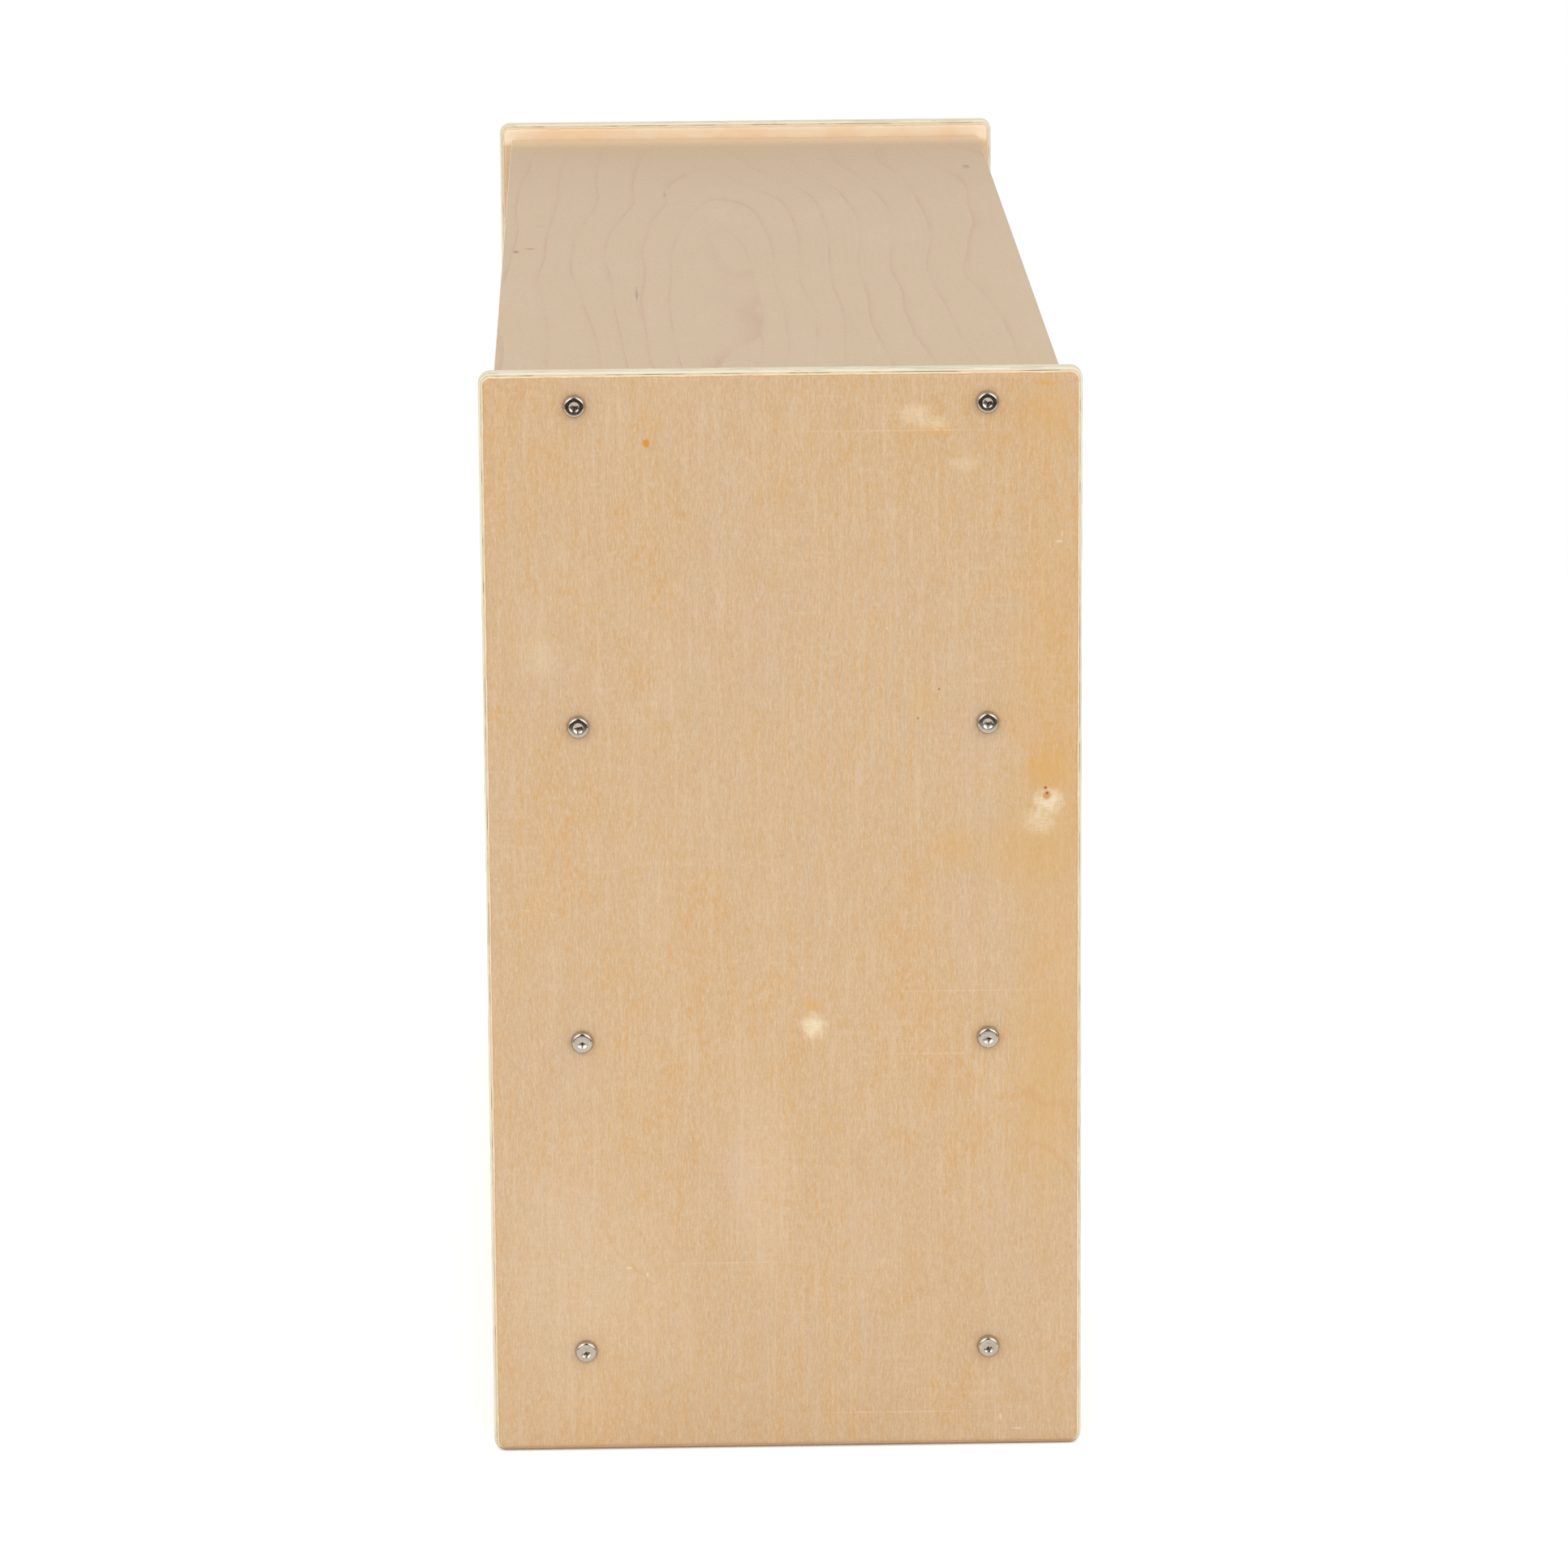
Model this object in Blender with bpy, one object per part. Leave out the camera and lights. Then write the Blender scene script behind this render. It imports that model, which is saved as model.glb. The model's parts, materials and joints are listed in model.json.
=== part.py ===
# Free-standing book drop box in birch plywood.
#
# Two side panels carry a top panel, two rails and a bottom panel between them on M6 button-head
# bolts. A divider makes two bays. In each bay a flap swings inwards on pins, and the books fall
# between the rails into a bin that pulls out at the front.
#
# Metres, +Z up, the front faces -Y, and the origin is on the floor under the middle of the box.

from math import cos, pi, sin

import bmesh
import bpy
from mathutils import Matrix, Vector

# Overall size
LENGTH = 0.914
DEPTH = 0.2985
HEIGHT = 0.555

# Boards
PLY = 0.015
BACK_PLY = 0.009
FLAP_PLY = 0.012
BIN_FRONT_PLY = 0.012
BIN_PLY = 0.009
BIN_BOTTOM_PLY = 0.006
GAP = 0.0003
CUT_MARGIN = 0.001
MERGE_DISTANCE = 1e-6
SMOOTH_ANGLE = pi / 5

# Side panels
CORNER_RADIUS = 0.006
EDGE_ROUND = 0.0045

# Boards between the side panels
TOP_DROP = 0.009
FRONT_INSET = 0.0078
BACK_INSET = 0.0070
BOTTOM_CENTRE_Z = 0.053
FRONT_RAIL_WIDTH = 0.0575
REAR_RAIL_WIDTH = 0.0452
BOARD_EDGE = 0.0015
BACK_PANEL_SETBACK = 0.0007
BACK_PANEL_EDGE = 0.0005

# Bolts: M6 button heads in two columns and four evenly spaced rows
BOLT_EDGE_DISTANCE = 0.0473
BOLT_SIDES = 12
SHANK_RADIUS = 0.003
BOLT_HOLE_RADIUS = 0.0034
HEAD_RADIUS = 0.0057
HEAD_FLAT_RADIUS = 0.0042
HEAD_HEIGHT = 0.0033
HEAD_RIM = 0.0006
SOCKET_WIDTH = 0.004
SOCKET_DEPTH = 0.0020
BOLT_LENGTH = 0.040
GUIDE_BOLT_LENGTH = 0.024

# Stop strip, plinth and bin guides
STRIP_THICKNESS = 0.010
STRIP_HEIGHT = 0.012
PLINTH_THICKNESS = 0.012
PLINTH_SETBACK = 0.031
PLINTH_FLOOR_GAP = 0.003
GUIDE_THICKNESS = 0.010
GUIDE_HEIGHT = 0.020
GUIDE_LENGTH = 0.254
GUIDE_REAR_GAP = 0.002

# Flaps, their pins, bushes and rubber buttons
FLAP_FRONT_Y = -0.129
FLAP_PIVOT_Z = 0.519
FLAP_SILL_GAP = 0.0018
FLAP_END_GAP = 0.0035
PIN_RADIUS = 0.003
PIN_SIDES = 16
PIN_DEPTH = 0.010
PIN_REACH = 0.0155
BUSH_BORE_RADIUS = 0.00314
BUSH_RADIUS = 0.0042
BUSH_FLANGE_RADIUS = 0.0056
BUSH_FLANGE = 0.0014
BUSH_LENGTH = 0.0155
BUMPER_RADIUS = 0.004
BUMPER_INSET = 0.040

# Bins
BIN_GAP = 0.0018
BIN_SIDE_PLAY = 0.002
BIN_LIFT = 0.0005
BIN_SIDE_TOP_DROP = 0.0072
BIN_BACK_Y = 0.120
BIN_FRONT_SETBACK = 0.0015
BIN_BOTTOM_RAISE = 0.005
HAND_HOLE_WIDTH = 0.100
HAND_HOLE_HEIGHT = 0.032
HAND_HOLE_DROP = 0.052
PAD_THICKNESS = 0.015
PAD_PLAY = 0.0024
PAD_EDGE = 0.003
ROUND_FLAT = 0.0002

# Heights and planes that several pieces share
SIDE_INNER_X = LENGTH / 2 - PLY
FRONT_Y = -DEPTH / 2 + FRONT_INSET
REAR_Y = DEPTH / 2 - BACK_INSET
TOP_CENTRE_Z = HEIGHT - TOP_DROP - PLY / 2
ROW_STEP = (TOP_CENTRE_Z - BOTTOM_CENTRE_Z) / 3
RAIL_CENTRE_Z = TOP_CENTRE_Z - ROW_STEP
GUIDE_CENTRE_Z = TOP_CENTRE_Z - 2 * ROW_STEP
BOLT_Y = DEPTH / 2 - BOLT_EDGE_DISTANCE
BACK_PANEL_FRONT_Y = REAR_Y - BACK_PANEL_SETBACK - BACK_PLY
FLAP_PIVOT_Y = FLAP_FRONT_Y + FLAP_PLY / 2
BAY_CENTRE_X = (SIDE_INNER_X + PLY / 2) / 2

BIRCH = ("birch_plywood", (0.74, 0.53, 0.32), 0.45, 0.0)
BEECH = ("beech", (0.62, 0.38, 0.22), 0.5, 0.0)
NICKEL = ("nickel_plate", (0.66, 0.64, 0.60), 0.25, 1.0)
STEEL = ("pin_steel", (0.55, 0.55, 0.56), 0.3, 1.0)
NYLON = ("nylon", (0.85, 0.84, 0.80), 0.5, 0.0)
RUBBER = ("rubber", (0.05, 0.05, 0.05), 0.8, 0.0)
FELT = ("felt", (0.25, 0.28, 0.31), 0.95, 0.0)


def clear_scene():
    for obj in list(bpy.data.objects):
        bpy.data.objects.remove(obj, do_unlink=True)


def add_material(piece, finish):
    label, colour, roughness, metallic = finish
    material = bpy.data.materials.new(f"{label}_{piece.name}")
    material.use_nodes = True
    shader = material.node_tree.nodes["Principled BSDF"]
    shader.inputs["Base Color"].default_value = (*colour, 1.0)
    shader.inputs["Roughness"].default_value = roughness
    shader.inputs["Metallic"].default_value = metallic
    piece.data.materials.append(material)


def add_piece(name, mesh, centre, finish, parent=None):
    """Put a mesh into the scene at a world position, under an optional parent empty."""
    piece = bpy.data.objects.new(name, mesh)
    bpy.context.scene.collection.objects.link(piece)
    piece.location = Vector(centre)
    if parent is not None:
        piece.parent = parent
        piece.location = Vector(centre) - parent.location
    add_material(piece, finish)
    return piece


def add_empty(name, place):
    empty = bpy.data.objects.new(name, None)
    bpy.context.scene.collection.objects.link(empty)
    empty.location = place
    return empty


def finish_mesh(bm, name):
    mesh = bpy.data.meshes.new(name)
    bmesh.ops.recalc_face_normals(bm, faces=bm.faces)
    bm.to_mesh(mesh)
    bm.free()
    return mesh


def box_bmesh(size):
    bm = bmesh.new()
    bmesh.ops.create_cube(bm, size=1.0, matrix=Matrix.Diagonal((*size, 1.0)))
    return bm


def bevel_edges(bm, edges, width, segments):
    bmesh.ops.bevel(bm, geom=edges, offset=width, offset_type="OFFSET", segments=segments,
                    profile=0.5, affect="EDGES", clamp_overlap=False, material=-1)


def add_board(name, low, high, finish=BIRCH, edge=BOARD_EDGE, parent=None):
    """A rectangular board between two corners, with slightly rounded edges."""
    low, high = Vector(low), Vector(high)
    bm = box_bmesh(high - low)
    if edge:
        bevel_edges(bm, bm.edges[:], edge, 1)
    return add_piece(name, finish_mesh(bm, name), (low + high) / 2, finish, parent)


def rod_bmesh(bm, start, end, radius, sides):
    """A closed round rod along X between two points."""
    length = end.x - start.x
    turn = Matrix.Rotation(pi / 2, 4, "Y")
    place = Matrix.Translation((start + end) / 2)
    bmesh.ops.create_cone(bm, cap_ends=True, segments=sides, radius1=radius, radius2=radius,
                          depth=length, matrix=place @ turn)


def drill(piece, holes, sides=BOLT_SIDES):
    """Cut round holes along X, each given as (start x, end x, y, z, radius) in world metres."""
    bm = bmesh.new()
    for start_x, end_x, y, z, radius in holes:
        rod_bmesh(bm, Vector((start_x, y, z)), Vector((end_x, y, z)), radius, sides)
    cutter = bpy.data.objects.new(f"{piece.name}.drill", finish_mesh(bm, f"{piece.name}.drill"))
    bpy.context.scene.collection.objects.link(cutter)
    cut_with(piece, cutter)


def cut_with(piece, cutter):
    cutter.hide_render = True
    cutter.display_type = "WIRE"
    cut = piece.modifiers.new(cutter.name, "BOOLEAN")
    cut.operation = "DIFFERENCE"
    cut.solver = "EXACT"
    cut.object = cutter


def bolt_rows():
    return [TOP_CENTRE_Z - row * ROW_STEP for row in range(4)]


def end_bores(rows, columns):
    """Bolt bores in both ends of a board that runs from side panel to side panel."""
    depth = BOLT_LENGTH - PLY + CUT_MARGIN
    holes = []
    for y in columns:
        for z in rows:
            place = (y, z, BOLT_HOLE_RADIUS)
            holes.append((-SIDE_INNER_X - CUT_MARGIN, -SIDE_INNER_X + depth, *place))
            holes.append((SIDE_INNER_X - depth, SIDE_INNER_X + CUT_MARGIN, *place))
    return holes


def side_panel_mesh():
    """A panel with rounded corners in outline and rounded-over edges on both faces."""
    bm = box_bmesh((PLY, DEPTH, HEIGHT))
    corners = [e for e in bm.edges if abs(e.verts[0].co.x - e.verts[1].co.x) > PLY / 2]
    bevel_edges(bm, corners, CORNER_RADIUS, 3)
    rims = [e for e in bm.edges if abs(e.verts[0].co.x - e.verts[1].co.x) < PLY / 10]
    bevel_edges(bm, rims, EDGE_ROUND, 3)
    return finish_mesh(bm, "side_panel")


def add_side_panels():
    for side, name in ((-1, "side_panel_left"), (1, "side_panel_right")):
        centre_x = side * (LENGTH / 2 - PLY / 2)
        panel = add_piece(name, side_panel_mesh(), (centre_x, 0, HEIGHT / 2), BIRCH)
        holes = []
        for y in (-BOLT_Y, BOLT_Y):
            for z in bolt_rows():
                holes.append((centre_x - PLY, centre_x + PLY, y, z, BOLT_HOLE_RADIUS))
        inner_x = side * (SIDE_INNER_X - CUT_MARGIN)
        deep_x = side * (SIDE_INNER_X + PIN_DEPTH + GAP)
        holes.append((min(inner_x, deep_x), max(inner_x, deep_x), FLAP_PIVOT_Y, FLAP_PIVOT_Z,
                      PIN_RADIUS + 2 * GAP))
        drill(panel, holes)


def add_long_boards():
    """Top panel, bottom panel, rails, stop strip, plinth and back panel."""
    end_x = SIDE_INNER_X - GAP
    both_columns = (-BOLT_Y, BOLT_Y)
    for name, z in (("top_panel", TOP_CENTRE_Z), ("bottom_panel", BOTTOM_CENTRE_Z)):
        board = add_board(name, (-end_x, FRONT_Y, z - PLY / 2), (end_x, REAR_Y, z + PLY / 2))
        drill(board, end_bores([z], both_columns))

    low_z, high_z = RAIL_CENTRE_Z - PLY / 2, RAIL_CENTRE_Z + PLY / 2
    front_rail = add_board("front_rail", (-end_x, FRONT_Y, low_z),
                           (end_x, FRONT_Y + FRONT_RAIL_WIDTH, high_z))
    drill(front_rail, end_bores([RAIL_CENTRE_Z], (-BOLT_Y,)))
    rear_end_y = BACK_PANEL_FRONT_Y - GAP
    rear_rail = add_board("rear_rail", (-end_x, rear_end_y - REAR_RAIL_WIDTH, low_z),
                          (end_x, rear_end_y, high_z))
    drill(rear_rail, end_bores([RAIL_CENTRE_Z], (BOLT_Y,)))

    add_board("flap_stop_strip", (-end_x, FRONT_Y, high_z + GAP),
              (end_x, FRONT_Y + STRIP_THICKNESS, high_z + GAP + STRIP_HEIGHT), BEECH)

    plinth_y = FRONT_Y + PLINTH_SETBACK
    add_board("plinth_board", (-end_x, plinth_y, PLINTH_FLOOR_GAP),
              (end_x, plinth_y + PLINTH_THICKNESS, BOTTOM_CENTRE_Z - PLY / 2 - GAP))

    add_board("back_panel",
              (-end_x, BACK_PANEL_FRONT_Y, BOTTOM_CENTRE_Z + PLY / 2 + GAP),
              (end_x, BACK_PANEL_FRONT_Y + BACK_PLY, TOP_CENTRE_Z - PLY / 2 - GAP),
              edge=BACK_PANEL_EDGE)


def add_dividers():
    rear_y = BACK_PANEL_FRONT_Y - GAP
    half = PLY / 2
    add_board("lower_divider", (-half, FRONT_Y, BOTTOM_CENTRE_Z + half + GAP),
              (half, rear_y, RAIL_CENTRE_Z - half - GAP))
    front_y = FRONT_Y + STRIP_THICKNESS + CUT_MARGIN
    upper = add_board("upper_divider", (-half, front_y, RAIL_CENTRE_Z + half + GAP),
                      (half, rear_y, TOP_CENTRE_Z - half - GAP))
    drill(upper, [(-PLY, PLY, FLAP_PIVOT_Y, FLAP_PIVOT_Z, PIN_RADIUS + 2 * GAP)])


def add_bin_guides():
    """Battens that keep each bin clear of the side panel and of the divider."""
    rear_y = BACK_PANEL_FRONT_Y - GUIDE_REAR_GAP
    front_y = rear_y - GUIDE_LENGTH
    low_z, high_z = GUIDE_CENTRE_Z - GUIDE_HEIGHT / 2, GUIDE_CENTRE_Z + GUIDE_HEIGHT / 2
    for side, bay in ((-1, "left"), (1, "right")):
        outer_face = SIDE_INNER_X - GAP
        inner_face = PLY / 2 + GAP
        for place, near, far in (("outer", outer_face - GUIDE_THICKNESS, outer_face),
                                 ("inner", inner_face, inner_face + GUIDE_THICKNESS)):
            xs = sorted((side * near, side * far))
            guide = add_board(f"bin_guide_{bay}_{place}", (xs[0], front_y, low_z),
                              (xs[1], rear_y, high_z), BEECH)
            if place == "outer":
                drill(guide, [(xs[0] - CUT_MARGIN, xs[1] + CUT_MARGIN, y, GUIDE_CENTRE_Z,
                               BOLT_HOLE_RADIUS) for y in (-BOLT_Y, BOLT_Y)])


def bolt_mesh(length):
    """A button-head bolt along +X: the head's seat is at x = 0 and the shank runs to +length."""
    ring = [(0.0, length), (SHANK_RADIUS, length), (SHANK_RADIUS, 0.0), (HEAD_RADIUS, 0.0),
            (HEAD_RADIUS, -HEAD_RIM)]
    dome_steps = 2
    for step in range(1, dome_steps + 1):
        turn = step / dome_steps * pi / 2
        radius = HEAD_FLAT_RADIUS + (HEAD_RADIUS - HEAD_FLAT_RADIUS) * cos(turn)
        ring.append((radius, -HEAD_RIM - (HEAD_HEIGHT - HEAD_RIM) * sin(turn)))
    bm = bmesh.new()
    verts = [bm.verts.new((x, 0.0, radius)) for radius, x in ring]
    edges = [bm.edges.new(pair) for pair in zip(verts, verts[1:])]
    bmesh.ops.spin(bm, geom=verts + edges, cent=(0, 0, 0), axis=(1, 0, 0), angle=2 * pi,
                   steps=BOLT_SIDES, use_merge=True)
    bmesh.ops.remove_doubles(bm, verts=bm.verts, dist=MERGE_DISTANCE)
    cut_socket(bm)
    mesh = finish_mesh(bm, "button_head_bolt")
    mesh.shade_smooth()
    mesh.set_sharp_from_angle(angle=SMOOTH_ANGLE)
    return mesh


def cut_socket(bm):
    """Draw the open rim of the head in to a hexagon, then down to the socket's floor."""
    rim = [e for e in bm.edges if e.is_boundary]
    grown = bmesh.ops.extrude_edge_only(bm, edges=rim)["geom"]
    for vert in (g for g in grown if isinstance(g, bmesh.types.BMVert)):
        angle = round(Vector((vert.co.y, vert.co.z)).angle_signed(Vector((0, 1))) / (pi / 6))
        reach = SOCKET_WIDTH / 2 if angle % 2 else SOCKET_WIDTH / 2 / cos(pi / 6)
        flat = Vector((0, vert.co.y, vert.co.z)).normalized() * reach
        vert.co = (vert.co.x, flat.y, flat.z)
    rim = [g for g in grown if isinstance(g, bmesh.types.BMEdge) and g.is_boundary]
    grown = bmesh.ops.extrude_edge_only(bm, edges=rim)["geom"]
    for vert in (g for g in grown if isinstance(g, bmesh.types.BMVert)):
        vert.co.x += SOCKET_DEPTH
    bmesh.ops.holes_fill(bm, edges=[e for e in bm.edges if e.is_boundary], sides=0)


def add_bolts():
    long_mesh, short_mesh = bolt_mesh(BOLT_LENGTH), bolt_mesh(GUIDE_BOLT_LENGTH)
    guide_row = 2
    for side, side_name in ((-1, "left"), (1, "right")):
        for y, column in ((-BOLT_Y, "front"), (BOLT_Y, "rear")):
            for row, z in enumerate(bolt_rows()):
                mesh = short_mesh if row == guide_row else long_mesh
                place = (side * (LENGTH / 2 + GAP), y, z)
                bolt = add_piece(f"bolt_{side_name}_{column}_{row + 1}", mesh.copy(), place, NICKEL)
                if side > 0:
                    bolt.rotation_euler = (0, 0, pi)


def turned_mesh(name, profile, sides):
    """A closed shape turned about X from (radius, x) points; the last joins the first."""
    bm = bmesh.new()
    verts = [bm.verts.new((x, 0.0, radius)) for radius, x in profile]
    edges = [bm.edges.new(pair) for pair in zip(verts, verts[1:] + verts[:1])]
    bmesh.ops.spin(bm, geom=verts + edges, cent=(0, 0, 0), axis=(1, 0, 0), angle=2 * pi,
                   steps=sides, use_merge=True)
    bmesh.ops.remove_doubles(bm, verts=bm.verts, dist=MERGE_DISTANCE)
    mesh = finish_mesh(bm, name)
    mesh.shade_smooth()
    mesh.set_sharp_from_angle(angle=SMOOTH_ANGLE)
    return mesh


def add_pin(name, low_x, high_x):
    bm = bmesh.new()
    reach = Vector(((high_x - low_x) / 2, 0, 0))
    rod_bmesh(bm, -reach, reach, PIN_RADIUS, PIN_SIDES)
    mesh = finish_mesh(bm, name)
    mesh.shade_smooth()
    mesh.set_sharp_from_angle(angle=SMOOTH_ANGLE)
    add_piece(name, mesh, ((low_x + high_x) / 2, FLAP_PIVOT_Y, FLAP_PIVOT_Z), STEEL)


def add_pins():
    deep_x, reach_x = SIDE_INNER_X + PIN_DEPTH, SIDE_INNER_X - PIN_REACH
    add_pin("pivot_pin_left", -deep_x, -reach_x)
    add_pin("pivot_pin_right", reach_x, deep_x)
    half = PLY / 2 + PIN_REACH
    add_pin("pivot_pin_centre", -half, half)


def add_bush(name, face_x, inwards, hinge):
    """A flanged bush in a flap's end; inwards is the sign of X that points into the flap."""
    flange_x = -BUSH_FLANGE
    profile = [(BUSH_BORE_RADIUS, flange_x), (BUSH_FLANGE_RADIUS, flange_x),
               (BUSH_FLANGE_RADIUS, 0.0), (BUSH_RADIUS, 0.0),
               (BUSH_RADIUS, BUSH_LENGTH), (BUSH_BORE_RADIUS, BUSH_LENGTH)]
    mesh = turned_mesh(name, profile, PIN_SIDES)
    place = (face_x - inwards * GAP, FLAP_PIVOT_Y, FLAP_PIVOT_Z)
    bush = add_piece(name, mesh, place, NYLON, hinge)
    if inwards < 0:
        bush.rotation_euler = (0, 0, pi)


def flap_mesh(name, half_width):
    """A board that hangs below the pivot, with a full round along its top edge."""
    low_z = RAIL_CENTRE_Z + PLY / 2 + FLAP_SILL_GAP - FLAP_PIVOT_Z
    high_z = FLAP_PLY / 2
    bm = box_bmesh((2 * half_width, FLAP_PLY, high_z - low_z))
    bmesh.ops.translate(bm, verts=bm.verts, vec=(0, 0, (high_z + low_z) / 2))

    def runs_along_top(edge):
        a, b = edge.verts
        return min(a.co.z, b.co.z) > 0 and abs(a.co.x - b.co.x) > half_width

    bevel_edges(bm, [e for e in bm.edges if runs_along_top(e)], FLAP_PLY / 2 - ROUND_FLAT, 4)
    ends = [e for e in bm.edges if max(e.verts[0].co.z, e.verts[1].co.z) < low_z + MERGE_DISTANCE]
    bevel_edges(bm, ends, BOARD_EDGE, 1)
    return finish_mesh(bm, name)


def add_flap(bay, side):
    hinge_x = side * BAY_CENTRE_X
    hinge = add_empty(f"{bay}_flap_axis", (hinge_x, FLAP_PIVOT_Y, FLAP_PIVOT_Z))
    half_width = (SIDE_INNER_X - PLY / 2) / 2 - FLAP_END_GAP
    pivot = (hinge_x, FLAP_PIVOT_Y, FLAP_PIVOT_Z)
    flap = add_piece(f"flap_{bay}", flap_mesh(f"flap_{bay}", half_width), pivot, BIRCH, hinge)
    bore = BUSH_RADIUS + 2 * GAP
    depth = BUSH_LENGTH + CUT_MARGIN
    low_x, high_x = hinge_x - half_width, hinge_x + half_width
    drill(flap, [(low_x - CUT_MARGIN, low_x + depth, FLAP_PIVOT_Y, FLAP_PIVOT_Z, bore),
                 (high_x - depth, high_x + CUT_MARGIN, FLAP_PIVOT_Y, FLAP_PIVOT_Z, bore)],
          PIN_SIDES)
    low_name, high_name = ("outer", "inner") if side < 0 else ("inner", "outer")
    add_bush(f"bush_{bay}_{low_name}", low_x, 1, hinge)
    add_bush(f"bush_{bay}_{high_name}", high_x, -1, hinge)
    for place, x in ((low_name, low_x + BUMPER_INSET), (high_name, high_x - BUMPER_INSET)):
        add_bumper(f"bumper_{bay}_{place}", x)


def add_bumper(name, x):
    """A rubber button between the stop strip and the hanging flap."""
    strip_y = FRONT_Y + STRIP_THICKNESS + GAP
    flap_y = FLAP_FRONT_Y - GAP
    z = RAIL_CENTRE_Z + PLY / 2 + GAP + STRIP_HEIGHT / 2
    bm = bmesh.new()
    bmesh.ops.create_cone(bm, cap_ends=True, segments=12, radius1=BUMPER_RADIUS * 0.8,
                          radius2=BUMPER_RADIUS, depth=flap_y - strip_y,
                          matrix=Matrix.Rotation(pi / 2, 4, "X"))
    mesh = finish_mesh(bm, name)
    add_piece(name, mesh, (x, (strip_y + flap_y) / 2, z), RUBBER)


def cut_hand_hole(front, centre):
    """A long hole with round ends through the bin's front board."""
    radius = HAND_HOLE_HEIGHT / 2
    bm = bmesh.new()
    size = (HAND_HOLE_WIDTH, 3 * BIN_FRONT_PLY, HAND_HOLE_HEIGHT)
    bmesh.ops.create_cube(bm, size=1.0, matrix=Matrix.Diagonal((*size, 1.0)))
    ends = [e for e in bm.edges if abs(e.verts[0].co.y - e.verts[1].co.y) > BIN_FRONT_PLY]
    bevel_edges(bm, ends, radius - ROUND_FLAT, 5)
    cutter = bpy.data.objects.new(f"{front.name}.hand", finish_mesh(bm, f"{front.name}.hand"))
    bpy.context.scene.collection.objects.link(cutter)
    cutter.location = centre
    cut_with(front, cutter)


def add_bin(bay, side):
    centre_x = side * BAY_CENTRE_X
    slide = add_empty(f"{bay}_bin_axis", (centre_x, FRONT_Y, GUIDE_CENTRE_Z))
    floor_z = BOTTOM_CENTRE_Z + PLY / 2
    rail_z = RAIL_CENTRE_Z - PLY / 2
    half_bay = (SIDE_INNER_X - PLY / 2) / 2

    front_half = half_bay - BIN_GAP
    front_y = FRONT_Y + BIN_FRONT_SETBACK
    front_low, front_high = floor_z + BIN_GAP, rail_z - BIN_GAP
    front = add_board(f"bin_{bay}_front", (centre_x - front_half, front_y, front_low),
                      (centre_x + front_half, front_y + BIN_FRONT_PLY, front_high), parent=slide)
    cut_hand_hole(front, (centre_x, front_y + BIN_FRONT_PLY / 2, front_high - HAND_HOLE_DROP))

    outer = half_bay - GAP - GUIDE_THICKNESS - BIN_SIDE_PLAY
    inner = outer - BIN_PLY
    side_front_y = front_y + BIN_FRONT_PLY + GAP
    side_top_z = front_high - BIN_SIDE_TOP_DROP
    for sign, place in ((side, "outer"), (-side, "inner")):
        xs = sorted((centre_x + sign * inner, centre_x + sign * outer))
        add_board(f"bin_{bay}_side_{place}", (xs[0], side_front_y, floor_z + BIN_LIFT),
                  (xs[1], BIN_BACK_Y, side_top_z), parent=slide)

    inside = inner - GAP
    bottom_low = floor_z + BIN_LIFT + BIN_BOTTOM_RAISE
    bottom_high = bottom_low + BIN_BOTTOM_PLY
    add_board(f"bin_{bay}_bottom", (centre_x - inside, side_front_y, bottom_low),
              (centre_x + inside, BIN_BACK_Y, bottom_high), edge=0.0, parent=slide)
    back_front_y = BIN_BACK_Y - BIN_PLY
    add_board(f"bin_{bay}_back", (centre_x - inside, back_front_y, bottom_high + GAP),
              (centre_x + inside, BIN_BACK_Y, side_top_z), parent=slide)
    add_board(f"bin_{bay}_pad",
              (centre_x - inside + PAD_PLAY, side_front_y + PAD_PLAY, bottom_high + GAP),
              (centre_x + inside - PAD_PLAY, back_front_y - PAD_PLAY,
               bottom_high + GAP + PAD_THICKNESS), FELT, PAD_EDGE, parent=slide)


def build():
    clear_scene()
    add_side_panels()
    add_long_boards()
    add_dividers()
    add_bin_guides()
    add_pins()
    add_bolts()
    for side, bay in ((-1, "left"), (1, "right")):
        add_flap(bay, side)
        add_bin(bay, side)


build()
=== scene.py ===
import json
from math import cos, pi, radians, sin

import bmesh
import bpy
from mathutils import Matrix, Vector

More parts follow.
